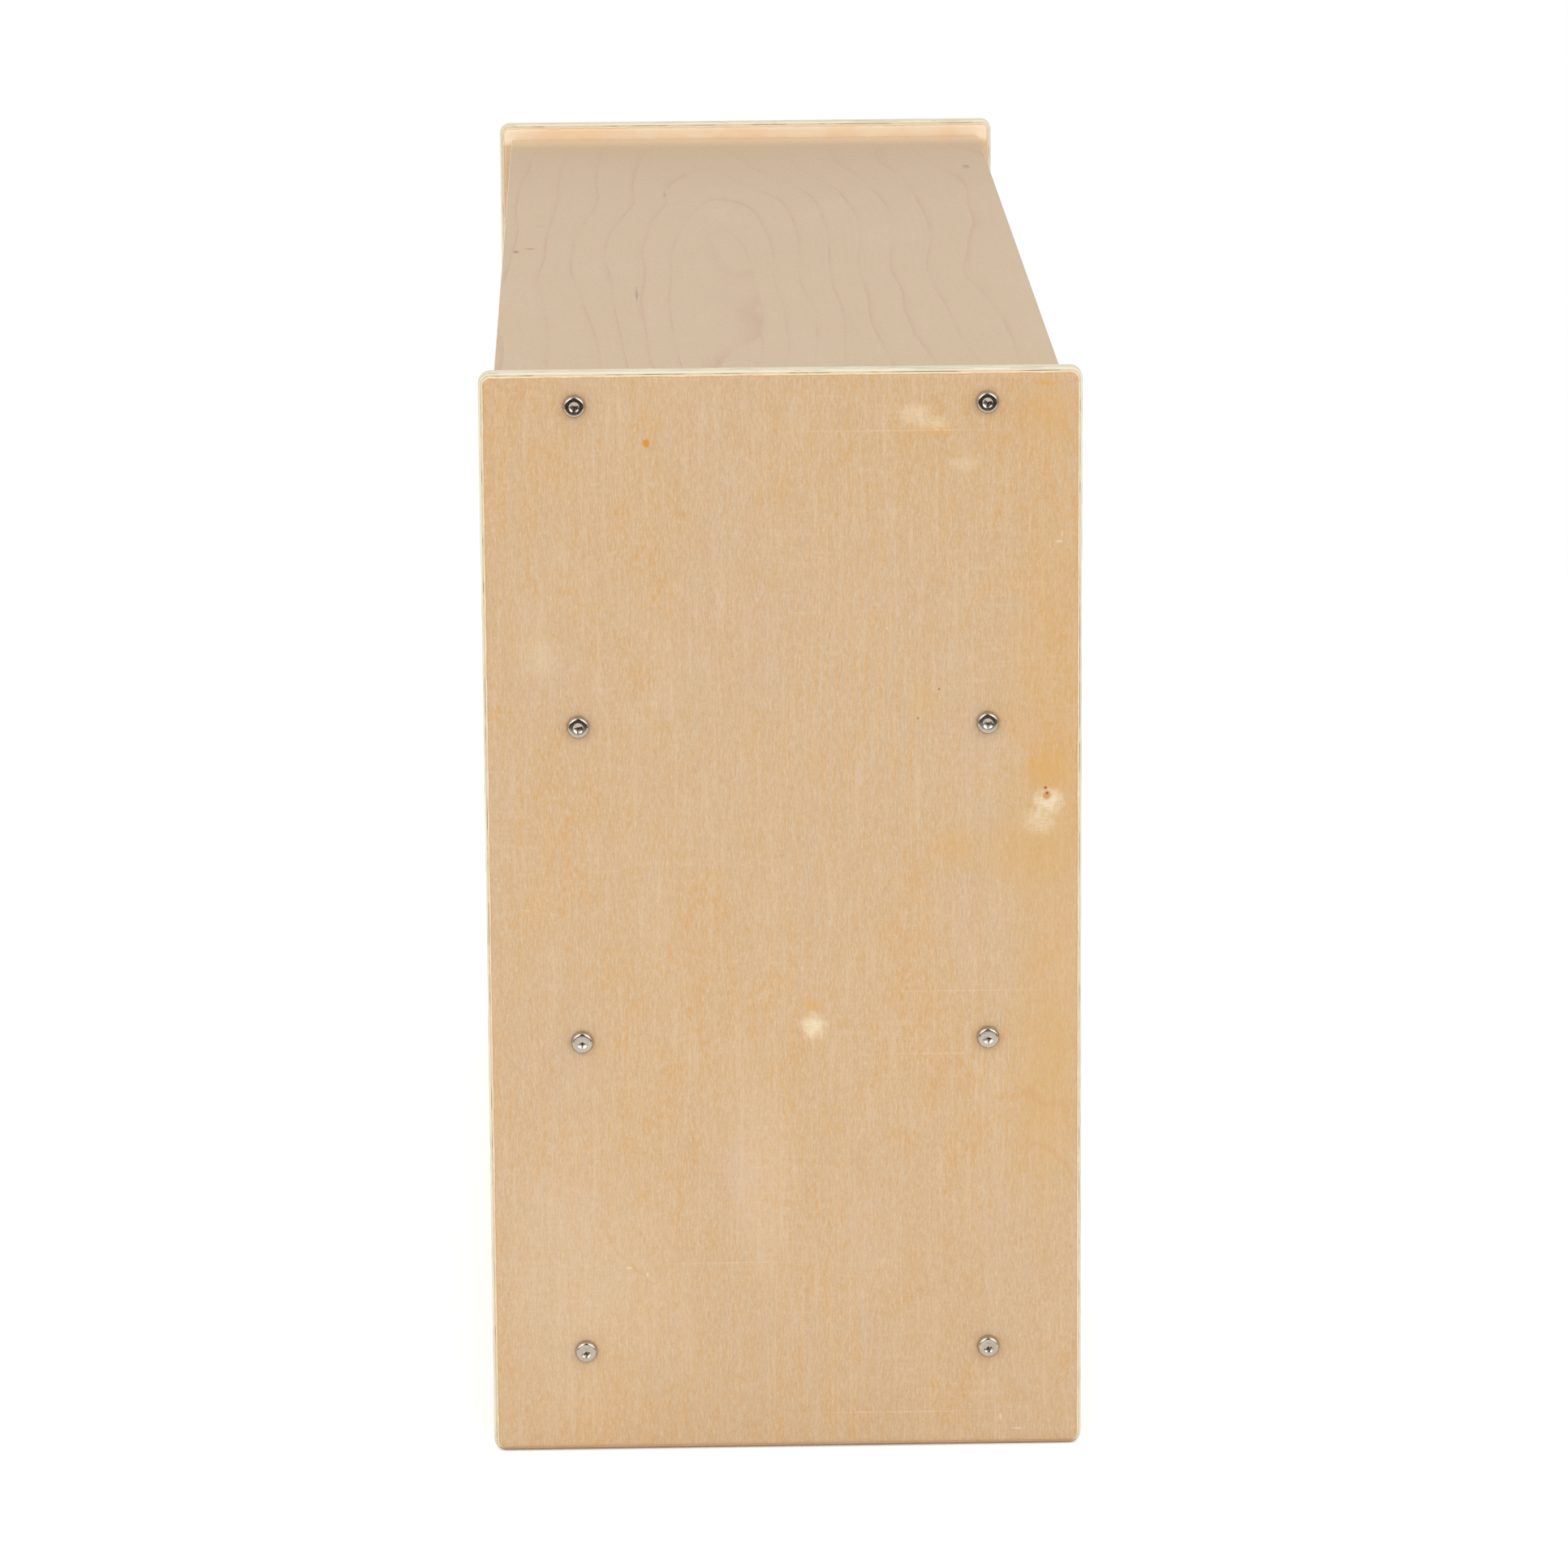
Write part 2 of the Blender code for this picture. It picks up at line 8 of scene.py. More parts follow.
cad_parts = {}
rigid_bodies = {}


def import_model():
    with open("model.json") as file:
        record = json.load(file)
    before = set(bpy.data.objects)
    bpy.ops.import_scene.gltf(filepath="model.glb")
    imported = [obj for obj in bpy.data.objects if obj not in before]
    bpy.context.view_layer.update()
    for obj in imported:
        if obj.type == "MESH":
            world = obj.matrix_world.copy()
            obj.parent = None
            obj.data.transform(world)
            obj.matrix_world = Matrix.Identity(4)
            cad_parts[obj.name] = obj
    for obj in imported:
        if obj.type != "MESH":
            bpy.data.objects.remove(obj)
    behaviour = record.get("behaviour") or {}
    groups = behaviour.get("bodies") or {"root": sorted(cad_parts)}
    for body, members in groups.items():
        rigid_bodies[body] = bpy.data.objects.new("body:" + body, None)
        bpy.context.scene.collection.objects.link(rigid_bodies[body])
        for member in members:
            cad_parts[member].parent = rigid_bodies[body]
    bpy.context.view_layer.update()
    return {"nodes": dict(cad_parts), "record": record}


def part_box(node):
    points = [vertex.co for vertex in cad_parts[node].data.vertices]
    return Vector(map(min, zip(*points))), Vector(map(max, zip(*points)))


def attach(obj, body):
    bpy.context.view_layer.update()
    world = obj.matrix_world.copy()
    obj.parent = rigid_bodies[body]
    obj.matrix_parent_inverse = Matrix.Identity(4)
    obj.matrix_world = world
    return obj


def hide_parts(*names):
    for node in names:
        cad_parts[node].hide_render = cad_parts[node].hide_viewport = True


for leftOver in list(bpy.data.objects):
    bpy.data.objects.remove(leftOver, do_unlink=True)

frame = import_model()
print("frame loaded:", len(frame["nodes"]), "nodes")


def toLinear(red, green, blue):
    # screen values 0-255 to the linear colour that a shader wants
    return tuple(((c / 255 + 0.055) / 1.055) ** 2.4 for c in (red, green, blue)) + (1.0,)


def setInput(tree, socket, value):
    if isinstance(value, bpy.types.NodeSocket):
        tree.links.new(value, socket)
    else:
        socket.default_value = value


def addNode(tree, kind, inputs=None, **settings):
    new = tree.nodes.new(kind)
    for key, value in settings.items():
        setattr(new, key, value)
    for key, value in (inputs or {}).items():
        setInput(tree, new.inputs[key], value)
    return new


def calc(tree, operation, a, b=0.0, c=0.0, clamp=False):
    new = addNode(tree, "ShaderNodeMath", {0: a, 1: b, 2: c}, operation=operation, use_clamp=clamp)
    return new.outputs[0]


def vecCalc(tree, operation, a, b=(0, 0, 0)):
    new = addNode(tree, "ShaderNodeVectorMath", {0: a, 1: b}, operation=operation)
    return new.outputs[0]


def remap(tree, value, low, high, toLow=0.0, toHigh=1.0, smooth=True):
    kind = "SMOOTHSTEP" if smooth else "LINEAR"
    new = addNode(tree, "ShaderNodeMapRange",
                  {0: value, 1: low, 2: high, 3: toLow, 4: toHigh}, interpolation_type=kind)
    return new.outputs[0]


def blendColour(tree, factor, a, b, mode="MIX"):
    new = addNode(tree, "ShaderNodeMix", data_type="RGBA", blend_type=mode, clamp_factor=True)
    for index, value in ((0, factor), (6, a), (7, b)):
        setInput(tree, new.inputs[index], value)
    return new.outputs[2]


def waveNoise(tree, vector, stretch, seed, detail=2.0, roughness=0.5, distortion=0.0):
    # stretch is in waves per metre along each axis
    new = addNode(tree, "ShaderNodeTexNoise",
                  {"Vector": vecCalc(tree, "MULTIPLY", vector, stretch), "W": seed, "Scale": 1.0,
                   "Detail": detail, "Roughness": roughness, "Distortion": distortion},
                  noise_dimensions="4D")
    return new.outputs[0]


def axesOf(tree, vector):
    return addNode(tree, "ShaderNodeSeparateXYZ", {0: vector}).outputs


def objectCoords(tree):
    return addNode(tree, "ShaderNodeTexCoord").outputs["Object"]


def newGroup(name, inputs, outputs):
    group = bpy.data.node_groups.new(name, "ShaderNodeTree")
    kinds = {"V": "NodeSocketVector", "F": "NodeSocketFloat", "C": "NodeSocketColor"}
    for label, kind in inputs:
        group.interface.new_socket(label, in_out="INPUT", socket_type=kinds[kind])
    for label, kind in outputs:
        group.interface.new_socket(label, in_out="OUTPUT", socket_type=kinds[kind])
    return group, group.nodes.new("NodeGroupInput").outputs, group.nodes.new("NodeGroupOutput").inputs


def useGroup(tree, group, inputs):
    new = tree.nodes.new("ShaderNodeGroup")
    new.node_tree = group
    for key, value in inputs.items():
        setInput(tree, new.inputs[key], value)
    return new.outputs


veneerLayers = {
    # layer: waves per metre along and across the grain, offset of its seed, the detail,
    # roughness and distortion of its noise, and the band that shows with what its ends map to
    "clouds": ((7, 17), 0.0, (3.0, 0.55, 0.0), (0.36, 0.72, 0.0, 1.0)),
    "paleClouds": ((9, 24), 7.3, (2.0, 0.5, 0.0), (0.50, 0.78, 0.0, 0.22)),
    "slow": ((2.1, 9.0), 3.1, (2.2, 0.42, 0.25), None),
    "ragged": ((60, 900), 41.0, (2.0, 0.5, 0.0), None),
    "ringPatches": ((9, 22), 11.7, (2.0, 0.5, 0.0), (0.38, 0.62, 0.3, 1.0)),
    "featherPatches": ((8, 17), 51.0, (3.0, 0.6, 0.0), (0.42, 0.66, 0.0, 1.0)),
    "silk": ((22, 420), 61.0, (3.0, 0.6, 0.0), (0.48, 0.72, 0.0, 1.0)),
    "ripples": ((520, 55), 27.0, (2.0, 0.5, 0.6), (0.50, 0.74, 0.0, 1.0)),
    "ripplePatches": ((14, 20), 29.0, (1.0, 0.5, 0.0), (0.42, 0.62, 0.0, 1.0)),
    "streaks": ((260, 1900), 5.0, (2.0, 0.7, 0.0), None),
    "speckle": ((1000, 2200), 33.0, (1.0, 0.5, 0.0), None),
    "fine": ((235, 800), 21.0, (3.0, 0.72, 0.0), None),
    "clusters": ((50, 105), 14.0, (3.0, 0.6, 0.0), (0.40, 0.66, 0.26, 1.50)),
}

veneer = {
    "warmCloud": 0.34,
    "flatMiddle": 0.2,
    "raggedness": 0.16,
    "ringSharpness": 12.0,
    "ringStart": 0.05,
    "featherCount": 4.3,
    "featherRaggedness": 0.5,
    "featherSharpness": 3.0,
    "feather": 0.78,
    "silk": 0.42,
    "ripple": 0.30,
    "streakShare": 0.66,
    "speckleShare": 0.34,
    "paleFlecks": (0.42, 0.72, 0.0, 1.15),
    "warmFlecks": (0.45, 0.78, 0.0, 1.0),
    "cloudedFlecks": (0.0, 1.0, 0.6, 1.15),
    "roughness": (0.3, 0.75, 0.0, 0.12),
    "fleckHeight": 0.6,
    "fineHeight": 0.4,
}


def makeVeneerGroup():
    # rotary-cut birch veneer: x runs with the grain, y across it, in metres
    group, take, give = newGroup(
        "birchVeneer",
        [("Vector", "V"), ("Seed", "F"), ("Base", "C"), ("Warm", "C"), ("Pale", "C"),
         ("Ring Colour", "C"), ("Rings", "F"), ("Ring Strength", "F"), ("Fleck Strength", "F"),
         ("Warmth", "F"), ("Oval Centre", "V"), ("Oval Size", "V"), ("Oval Rings", "F")],
        [("Color", "C"), ("Roughness", "F"), ("Height", "F")])

    def field(layer):
        waves, offset, (detail, roughness, distortion), band = veneerLayers[layer]
        seed = calc(group, "ADD", take["Seed"], offset)
        value = waveNoise(group, take["Vector"], (*waves, 1.0), seed, detail, roughness, distortion)
        return remap(group, value, *band) if band else value

    def product(*values):
        result = values[0]
        for value in values[1:]:
            result = calc(group, "MULTIPLY", result, value)
        return result

    def sawtooth(value, sharpness):
        # falls from 1 to 0 between whole steps, and jumps back
        return calc(group, "POWER", calc(group, "SUBTRACT", 1.0, value), sharpness)

    # broad warm clouds, and the paler ground between them
    warmCloud = field("clouds")
    tint = product(warmCloud, take["Warmth"], veneer["warmCloud"])
    colour = blendColour(group, tint, take["Base"], take["Warm"])
    colour = blendColour(group, field("paleClouds"), colour, take["Pale"])

    # growth rings: thin lines at even steps of a slow field round an oval, sharp on one side only
    oval = vecCalc(group, "SUBTRACT", take["Vector"], take["Oval Centre"])
    oval = vecCalc(group, "MULTIPLY", vecCalc(group, "DIVIDE", oval, take["Oval Size"]), (1, 1, 0))
    oval = addNode(group, "ShaderNodeVectorMath", {0: oval}, operation="LENGTH").outputs[1]
    oval = calc(group, "SQRT", calc(group, "MAXIMUM", oval, veneer["flatMiddle"]))
    level = calc(group, "MULTIPLY_ADD", field("slow"), take["Rings"], product(oval, take["Oval Rings"]))
    ragged = product(calc(group, "SUBTRACT", field("ragged"), 0.5), take["Fleck Strength"])
    level = calc(group, "MULTIPLY_ADD", ragged, veneer["raggedness"], level)
    steps = calc(group, "FRACT", level)
    ring = product(sawtooth(steps, veneer["ringSharpness"]),
                   remap(group, steps, 0.0, veneer["ringStart"]))
    ring = product(ring, field("ringPatches"), take["Ring Strength"])
    colour = blendColour(group, ring, colour, take["Ring Colour"])

    # between them, in patches, a feathery set of finer lines
    finer = calc(group, "MULTIPLY_ADD", ragged, veneer["featherRaggedness"],
                 product(level, veneer["featherCount"]))
    feather = sawtooth(calc(group, "FRACT", finer), veneer["featherSharpness"])
    feather = product(feather, field("featherPatches"), take["Fleck Strength"], veneer["feather"])
    colour = blendColour(group, feather, colour, take["Warm"])

    # long silvery strands along the grain, and faint ripples across it
    silk = product(field("silk"), take["Fleck Strength"], veneer["silk"])
    colour = blendColour(group, silk, colour, take["Pale"])
    ripple = product(field("ripples"), field("ripplePatches"), veneer["ripple"], take["Fleck Strength"])
    colour = blendColour(group, ripple, colour, take["Pale"])

    # short flecks along the grain, some pale and some warm, the warm ones in clusters
    flecks = calc(group, "MULTIPLY_ADD", field("streaks"), veneer["streakShare"],
                  product(field("speckle"), veneer["speckleShare"]))
    paleFleck = product(remap(group, flecks, *veneer["paleFlecks"], False), take["Fleck Strength"])
    colour = blendColour(group, paleFleck, colour, take["Pale"])
    fine = field("fine")
    warmFleck = remap(group, fine, *veneer["warmFlecks"], False)
    clouded = remap(group, warmCloud, *veneer["cloudedFlecks"], False)
    cluster = product(field("clusters"), clouded, take["Fleck Strength"])
    colour = blendColour(group, product(warmFleck, cluster), colour, take["Warm"])

    setInput(group, give["Color"], colour)
    setInput(group, give["Roughness"], remap(group, fine, *veneer["roughness"], False))
    setInput(group, give["Height"], calc(group, "ADD", product(flecks, veneer["fleckHeight"]),
                                         product(fine, veneer["fineHeight"])))
    return group


ply = {
    # waves per metre of each layer, in the board's own axes
    "wander": (90, 90, 0),
    "wobble": (9, 9, 0),
    "broken": (60, 60, 420),
    "tiger": (260, 260, 2600),
    # where the face veneer ends, in metres, and how far that wanders
    "veneerSpread": (0.25, 0.75, 0.70, 1.30),
    "veneerEnd": (-0.00004, 0.00008),
    "rimShift": 0.00012,
    "rimWidth": 0.00025,
    # the glue lines and the plies, in shares of a ply's thickness
    "wobbleAmount": 0.16,
    "glueLine": (0.04, 0.17),
    "glueBreaks": (0.48, 0.60, 0.30, 1.30),
    "glueStrength": 0.80,
    "plyChange": (0.35, 0.65),
    "tigerStripes": (0.3, 0.7, 0.55, 1.0),
}


def makePlyGroup():
    # the plies that show where the face veneer ends: z is the depth from the board's middle
    group, take, give = newGroup(
        "plyEdge",
        [("Vector", "V"), ("Seed", "F"), ("Thickness", "F"), ("Plies", "F"), ("Veneer", "F"),
         ("Light", "C"), ("Dark", "C"), ("Glue", "C")],
        [("Color", "C"), ("Mask", "F"), ("Rim", "F"), ("Height", "F")])
    z = axesOf(group, take["Vector"])[2]
    half = calc(group, "MULTIPLY", take["Thickness"], 0.5)
    depth = calc(group, "SUBTRACT", half, calc(group, "ABSOLUTE", z))

    def field(layer, seed, **settings):
        return waveNoise(group, take["Vector"], ply[layer], seed, **settings)

    wander = field("wander", take["Seed"], detail=5.0, roughness=0.75)
    wander = remap(group, wander, *ply["veneerSpread"], False)
    over = calc(group, "SUBTRACT", depth, calc(group, "MULTIPLY", take["Veneer"], wander))
    setInput(group, give["Mask"], remap(group, over, *ply["veneerEnd"]))
    rim = calc(group, "ABSOLUTE", calc(group, "ADD", over, ply["rimShift"]))
    setInput(group, give["Rim"], remap(group, rim, 0.0, ply["rimWidth"], 1.0, 0.0))

    level = calc(group, "DIVIDE", calc(group, "ADD", z, half), take["Thickness"])
    level = calc(group, "MULTIPLY", level, take["Plies"])
    wobble = calc(group, "SUBTRACT", field("wobble", 4.4), 0.5)
    level = calc(group, "ADD", level, calc(group, "MULTIPLY", wobble, ply["wobbleAmount"]))
    odd = calc(group, "PINGPONG", level, 1.0)
    share = calc(group, "FRACT", level)
    nearGlue = calc(group, "MINIMUM", share, calc(group, "SUBTRACT", 1.0, share))
    glue = remap(group, nearGlue, *ply["glueLine"], 1.0, 0.0)
    broken = remap(group, field("broken", 8.8, detail=3.0), *ply["glueBreaks"])
    glue = calc(group, "MULTIPLY", glue, broken)
    tiger = field("tiger", 2.2, detail=3.0)
    darkPly = calc(group, "MULTIPLY", remap(group, odd, *ply["plyChange"]),
                   remap(group, tiger, *ply["tigerStripes"]))
    colour = blendColour(group, darkPly, take["Light"], take["Dark"])
    glueShown = calc(group, "MULTIPLY", glue, ply["glueStrength"])
    colour = blendColour(group, glueShown, colour, take["Glue"])
    setInput(group, give["Color"], colour)
    setInput(group, give["Height"], calc(group, "SUBTRACT", tiger, glue))
    return group


raggedWaves = (260, 420, 0)


def makeSpotGroup():
    # one soft oval mark in a board's own plane: 1 inside, 0 outside
    group, take, give = newGroup(
        "ovalSpot",
        [("Vector", "V"), ("Centre", "V"), ("Size", "V"), ("Softness", "F"), ("Wobble", "F")],
        [("Mask", "F"), ("Distance", "F")])
    offset = vecCalc(group, "SUBTRACT", take["Vector"], take["Centre"])
    flat = vecCalc(group, "MULTIPLY", vecCalc(group, "DIVIDE", offset, take["Size"]), (1, 1, 0))
    far = addNode(group, "ShaderNodeVectorMath", {0: flat}, operation="LENGTH").outputs[1]
    rough = waveNoise(group, take["Vector"], raggedWaves, 1.3, detail=3.0)
    rough = calc(group, "MULTIPLY", calc(group, "SUBTRACT", rough, 0.5), take["Wobble"])
    far = calc(group, "ADD", far, rough)
    start = calc(group, "SUBTRACT", 1.0, take["Softness"])
    setInput(group, give["Mask"], remap(group, far, start, 1.0, 1.0, 0.0))
    setInput(group, give["Distance"], far)
    return group


veneerGroup = makeVeneerGroup()
plyGroup = makePlyGroup()
spotGroup = makeSpotGroup()


birch = {
    "plyLight": toLinear(232, 223, 199),
    "plyDark": toLinear(212, 196, 164),
    "glue": toLinear(112, 86, 58),
    "rim": toLinear(204, 140, 74),
    "veneer": 0.00062,
    "roughness": 0.40,
    "coat": 0.18,
    "coatRoughness": 0.22,
    "specular": 0.4,
    "rimStrength": 0.6,
    "edgeRoughness": 0.12,
    "veneerRelief": 0.25,
    "bumpDistance": 0.00004,
    "bumpStrength": 0.6,
    # painted shade: the colour of the darker band along the foot edge, where it meets the floor
    "paintedFootShade": toLinear(172, 122, 72),
    "footBand": (0.0012, 0.0034),
    "footStrength": 0.75,
    "seed": 2.7,
    "seedStep": 1.9,
}

boardLooks = {
    # node: grain axis, thickness axis, plies, tone
    "side_panel_left": ("Z", "X", 11, "side"),
    "side_panel_right": ("Z", "X", 11, "farSideLit"),
    "top_panel": ("X", "Z", 11, "top"),
    "bottom_panel": ("X", "Z", 11, "inside"),
    "front_rail": ("X", "Z", 11, "inside"),
    "rear_rail": ("X", "Z", 11, "inside"),
    "plinth_board": ("X", "Y", 9, "inside"),
    "back_panel": ("X", "Y", 7, "back"),
    "upper_divider": ("Z", "X", 11, "inside"),
    "lower_divider": ("Z", "X", 11, "inside"),
    "flap_left": ("X", "Y", 9, "front"),
    "flap_right": ("X", "Y", 9, "front"),
    "bin_left_front": ("X", "Y", 9, "front"),
    "bin_right_front": ("X", "Y", 9, "front"),
}
for bay in ("left", "right"):
    boardLooks[f"bin_{bay}_back"] = ("X", "Y", 7, "inside")
    boardLooks[f"bin_{bay}_bottom"] = ("X", "Z", 5, "inside")
    for place in ("outer", "inner"):
        boardLooks[f"bin_{bay}_side_{place}"] = ("Y", "X", 7, "inside")

tones = {
    "side": {"base": (194, 163, 125), "warm": (204, 154, 88), "pale": (214, 189, 159),
             "ring": (204, 154, 98), "rings": 5.0, "ringStrength": 0.30, "flecks": 0.84,
             "warmth": 1.0},
    # painted light: the far side panel is the same birch as the near one, painted paler for the light and
    # the bounce from the top that fall on its inner face
    "farSideLit": {"base": (216, 190, 155), "warm": (218, 172, 118), "pale": (228, 208, 180),
                "ring": (205, 160, 116), "rings": 5.0, "ringStrength": 0.3, "flecks": 0.7,
                "warmth": 0.8},
    "top": {"base": (198, 172, 138), "warm": (192, 156, 116), "pale": (208, 187, 157),
            "ring": (184, 138, 110), "rings": 3.6, "ringStrength": 0.98, "flecks": 0.30,
            "warmth": 0.2},
    "front": {"base": (195, 169, 134), "warm": (197, 150, 97), "pale": (213, 191, 160),
              "ring": (172, 134, 102), "rings": 11.0, "ringStrength": 0.40, "flecks": 0.45,
              "warmth": 0.6},
    "inside": {"base": (195, 168, 132), "warm": (197, 150, 97), "pale": (213, 190, 158),
               "ring": (172, 134, 102), "rings": 9.0, "ringStrength": 0.35, "flecks": 0.55,
               "warmth": 0.6},
    "back": {"base": (196, 172, 139), "warm": (195, 152, 103), "pale": (212, 191, 163),
             "ring": (172, 136, 104), "rings": 12.0, "ringStrength": 0.42, "flecks": 0.4,
             "warmth": 0.5},
}

noOval = {"Oval Centre": (0, 0, 0), "Oval Size": (1, 1, 1), "Oval Rings": 0.0}
tones["side"]["oval"] = {
    "Oval Centre": (-0.17, -0.14, 0), "Oval Size": (0.44, 0.11, 1), "Oval Rings": 8.0}
tones["top"]["oval"] = {
    "Oval Centre": (-0.20, 0.024, 0), "Oval Size": (1.20, 0.10, 1), "Oval Rings": 9.5}

axisOrder = {"X": 0, "Y": 1, "Z": 2}


def boardVector(tree, centre, grain, thick):
    # object coordinates turned so that x is the grain, y is across it and z is the thickness
    local = vecCalc(tree, "SUBTRACT", objectCoords(tree), tuple(centre))
    parts = axesOf(tree, local)
    across = next(axis for axis in "XYZ" if axis not in (grain, thick))
    order = [parts[axisOrder[axis]] for axis in (grain, across, thick)]
    return addNode(tree, "ShaderNodeCombineXYZ", dict(enumerate(order))).outputs[0]


def newMaterial(name, **constants):
    material = bpy.data.materials.new(name)
    material.use_nodes = True
    shader = material.node_tree.nodes["Principled BSDF"]
    for key, value in constants.items():
        shader.inputs[key].default_value = value
    return material, material.node_tree, shader


def addBump(tree, shader, height, distance, strength=1.0):
    bump = addNode(tree, "ShaderNodeBump",
                   {"Height": height, "Distance": distance, "Strength": strength})
    tree.links.new(bump.outputs[0], shader.inputs["Normal"])


def birchMaterial(name, low, high, grain, thick, plies, tone, seed, marks=None):
    material, tree, shader = newMaterial(name, **{
        "Coat Weight": birch["coat"], "Coat Roughness": birch["coatRoughness"],
        "Specular IOR Level": birch["specular"]})
    centre = (low + high) / 2
    vector = boardVector(tree, centre, grain, thick)
    look = tones[tone]
    face = useGroup(tree, veneerGroup, {
        "Vector": vector, "Seed": seed, "Base": toLinear(*look["base"]),
        "Warm": toLinear(*look["warm"]), "Pale": toLinear(*look["pale"]),
        "Ring Colour": toLinear(*look["ring"]), "Rings": look["rings"],
        "Ring Strength": look["ringStrength"], "Fleck Strength": look["flecks"],
        "Warmth": look["warmth"], **look.get("oval", noOval)})
    colour = face["Color"]
    if marks:
        colour = marks(tree, vector, colour)
    thickness = (high - low)[axisOrder[thick]]
    edge = useGroup(tree, plyGroup, {
        "Vector": vector, "Seed": seed, "Thickness": thickness, "Plies": float(plies),
        "Veneer": birch["veneer"], "Light": birch["plyLight"], "Dark": birch["plyDark"],
        "Glue": birch["glue"]})
    rim = calc(tree, "MULTIPLY", edge["Rim"], birch["rimStrength"])
    colour = blendColour(tree, rim, colour, birch["rim"])
    colour = blendColour(tree, edge["Mask"], colour, edge["Color"])
    if tone in ("side", "farSideLit"):
        colour = paintedFootShade(tree, vector, low.z - centre.z, colour)
    tree.links.new(colour, shader.inputs["Base Color"])
    roughness = calc(tree, "ADD", face["Roughness"], birch["roughness"])
    rougher = calc(tree, "MULTIPLY", edge["Mask"], birch["edgeRoughness"])
    roughness = calc(tree, "ADD", roughness, rougher)
    tree.links.new(roughness, shader.inputs["Roughness"])
    height = calc(tree, "MULTIPLY", face["Height"], birch["veneerRelief"])
    height = calc(tree, "ADD", height, edge["Height"])
    addBump(tree, shader, height, birch["bumpDistance"], birch["bumpStrength"])
    return material


def paintedFootShade(tree, vector, foot, colour):
    # painted shade: the edge that stands on the floor is painted darker, standing in for the shadow where
    # it meets the floor
    along = axesOf(tree, vector)[0]
    start, end = (foot + edge for edge in birch["footBand"])
    mask = calc(tree, "MULTIPLY", remap(tree, along, start, end, 1.0, 0.0), birch["footStrength"])
    return blendColour(tree, mask, colour, birch["paintedFootShade"])


# marks in metres from the board's middle: (along, across), (length, width), and a share where it varies
sideMarks = {
    "golden": [((0.0600, -0.1400), (0.2600, 0.0420), 0.30), ((0.0745, -0.1315), (0.0160, 0.0200), 0.62),
               ((0.0325, -0.1190), (0.0300, 0.0340), 0.34), ((0.2560, -0.1330), (0.0260, 0.0240), 0.40),
               ((-0.0455, -0.0141), (0.0050, 0.0070), 0.70), ((0.2470, -0.0760), (0.0050, 0.0140), 0.60),
               ((0.0350, -0.0850), (0.0180, 0.0170), 0.36), ((0.1100, -0.0700), (0.0160, 0.0120), 0.30),
               ((0.2700, -0.1305), (0.0018, 0.0090), 0.95), ((-0.0900, -0.1300), (0.1000, 0.0300), 0.34)],
    "cream": [((0.0586, -0.1326), (0.0082, 0.0102), 1.00), ((0.0487, -0.1282), (0.0095, 0.0125), 0.58),
              ((-0.0563, -0.0141), (0.0094, 0.0086), 0.95), ((0.2550, -0.0660), (0.0076, 0.0125), 0.48),
              ((0.2505, -0.0760), (0.0056, 0.0115), 0.52), ((0.2300, -0.0900), (0.0050, 0.0115), 0.36),
              ((0.1350, 0.1200), (0.0150, 0.0130), 0.20), ((-0.1350, 0.0100), (0.0900, 0.0220), 0.12),
              ((-0.1900, 0.1000), (0.1100, 0.0700), 0.16)],
    "nicks": [((-0.1845, 0.0705), (0.0020, 0.0016)), ((-0.1810, 0.0795), (0.0012, 0.0026)),
              ((0.1905, -0.1375), (0.0008, 0.0030)), ((0.1945, -0.1390), (0.0026, 0.0007)),
              ((0.0545, 0.0800), (0.0009, 0.0006)), ((0.1475, -0.0520), (0.0010, 0.0006)),
              ((-0.2620, -0.1080), (0.0030, 0.0010)), ((-0.2685, -0.1170), (0.0010, 0.0040))],
    "scuffs": [((0.2470, -0.0600), (0.0006, 0.0760)), ((-0.0385, -0.0900), (0.0005, 0.0560)),
               ((-0.0710, -0.0740), (0.0005, 0.0380)), ((-0.2590, -0.0600), (0.0006, 0.0720)),
               ((-0.1790, 0.0300), (0.0005, 0.0600))],
    "core": [((0.0613, -0.1316), (0.0028, 0.0032))],
    "resin": [((0.2421, 0.0667), (0.0024, 0.0021))],
    "knots": [((0.0654, -0.1308), (0.0011, 0.0012)), ((0.0627, -0.1316), (0.0012, 0.0012))],
    "dots": [((0.1163, -0.0777), (0.0009, 0.0007)), ((0.1016, -0.0672), (0.0009, 0.0007))],
    "arches": [((-0.1480, 0.0735), (0.0320, 0.0185)), ((-0.1960, -0.0435), (0.0640, 0.0165)),
               ((-0.1750, -0.1250), (0.0800, 0.0420)), ((-0.1750, -0.1250), (0.0560, 0.0260))],
}
topMarks = {
    "streaks": [((-0.0045, 0.1345), (0.0065, 0.0022), 0.75), ((0.0055, 0.1270), (0.0035, 0.0032), 0.75),
                ((-0.1560, 0.0690), (0.0340, 0.0010), 0.55), ((0.2050, 0.0510), (0.0200, 0.0010), 0.40),
                ((0.3090, -0.1280), (0.0110, 0.0030), 0.45)],
    "farEndShade": [((0.5200, 0.0000), (0.4200, 0.6000))],
}

markPaints = {
    # kind of mark: colour, share, softness of its rim and wobble of its outline
    "golden": ((208, 160, 88), None, 0.95, 0.7),
    "cream": ((228, 209, 175), None, 0.85, 0.9),
    "scuffs": ((222, 198, 166), 0.34, 0.95, 0.9),
    "nicks": ((232, 214, 186), 0.50, 0.9, 1.1),
    "core": ((196, 128, 52), 0.80, 0.7, 0.9),
    "resin": ((206, 138, 40), 0.95, 0.5, 1.2),
    "knots": ((134, 60, 24), 0.9, 0.8, 0.4),
    "dots": ((112, 80, 50), 0.8, 0.8, 0.4),
    "farEndShade": ((182, 150, 116), 0.7, 0.98, 0.2),
    "streaks": ((138, 84, 62), None, 0.8, 1.2),
}

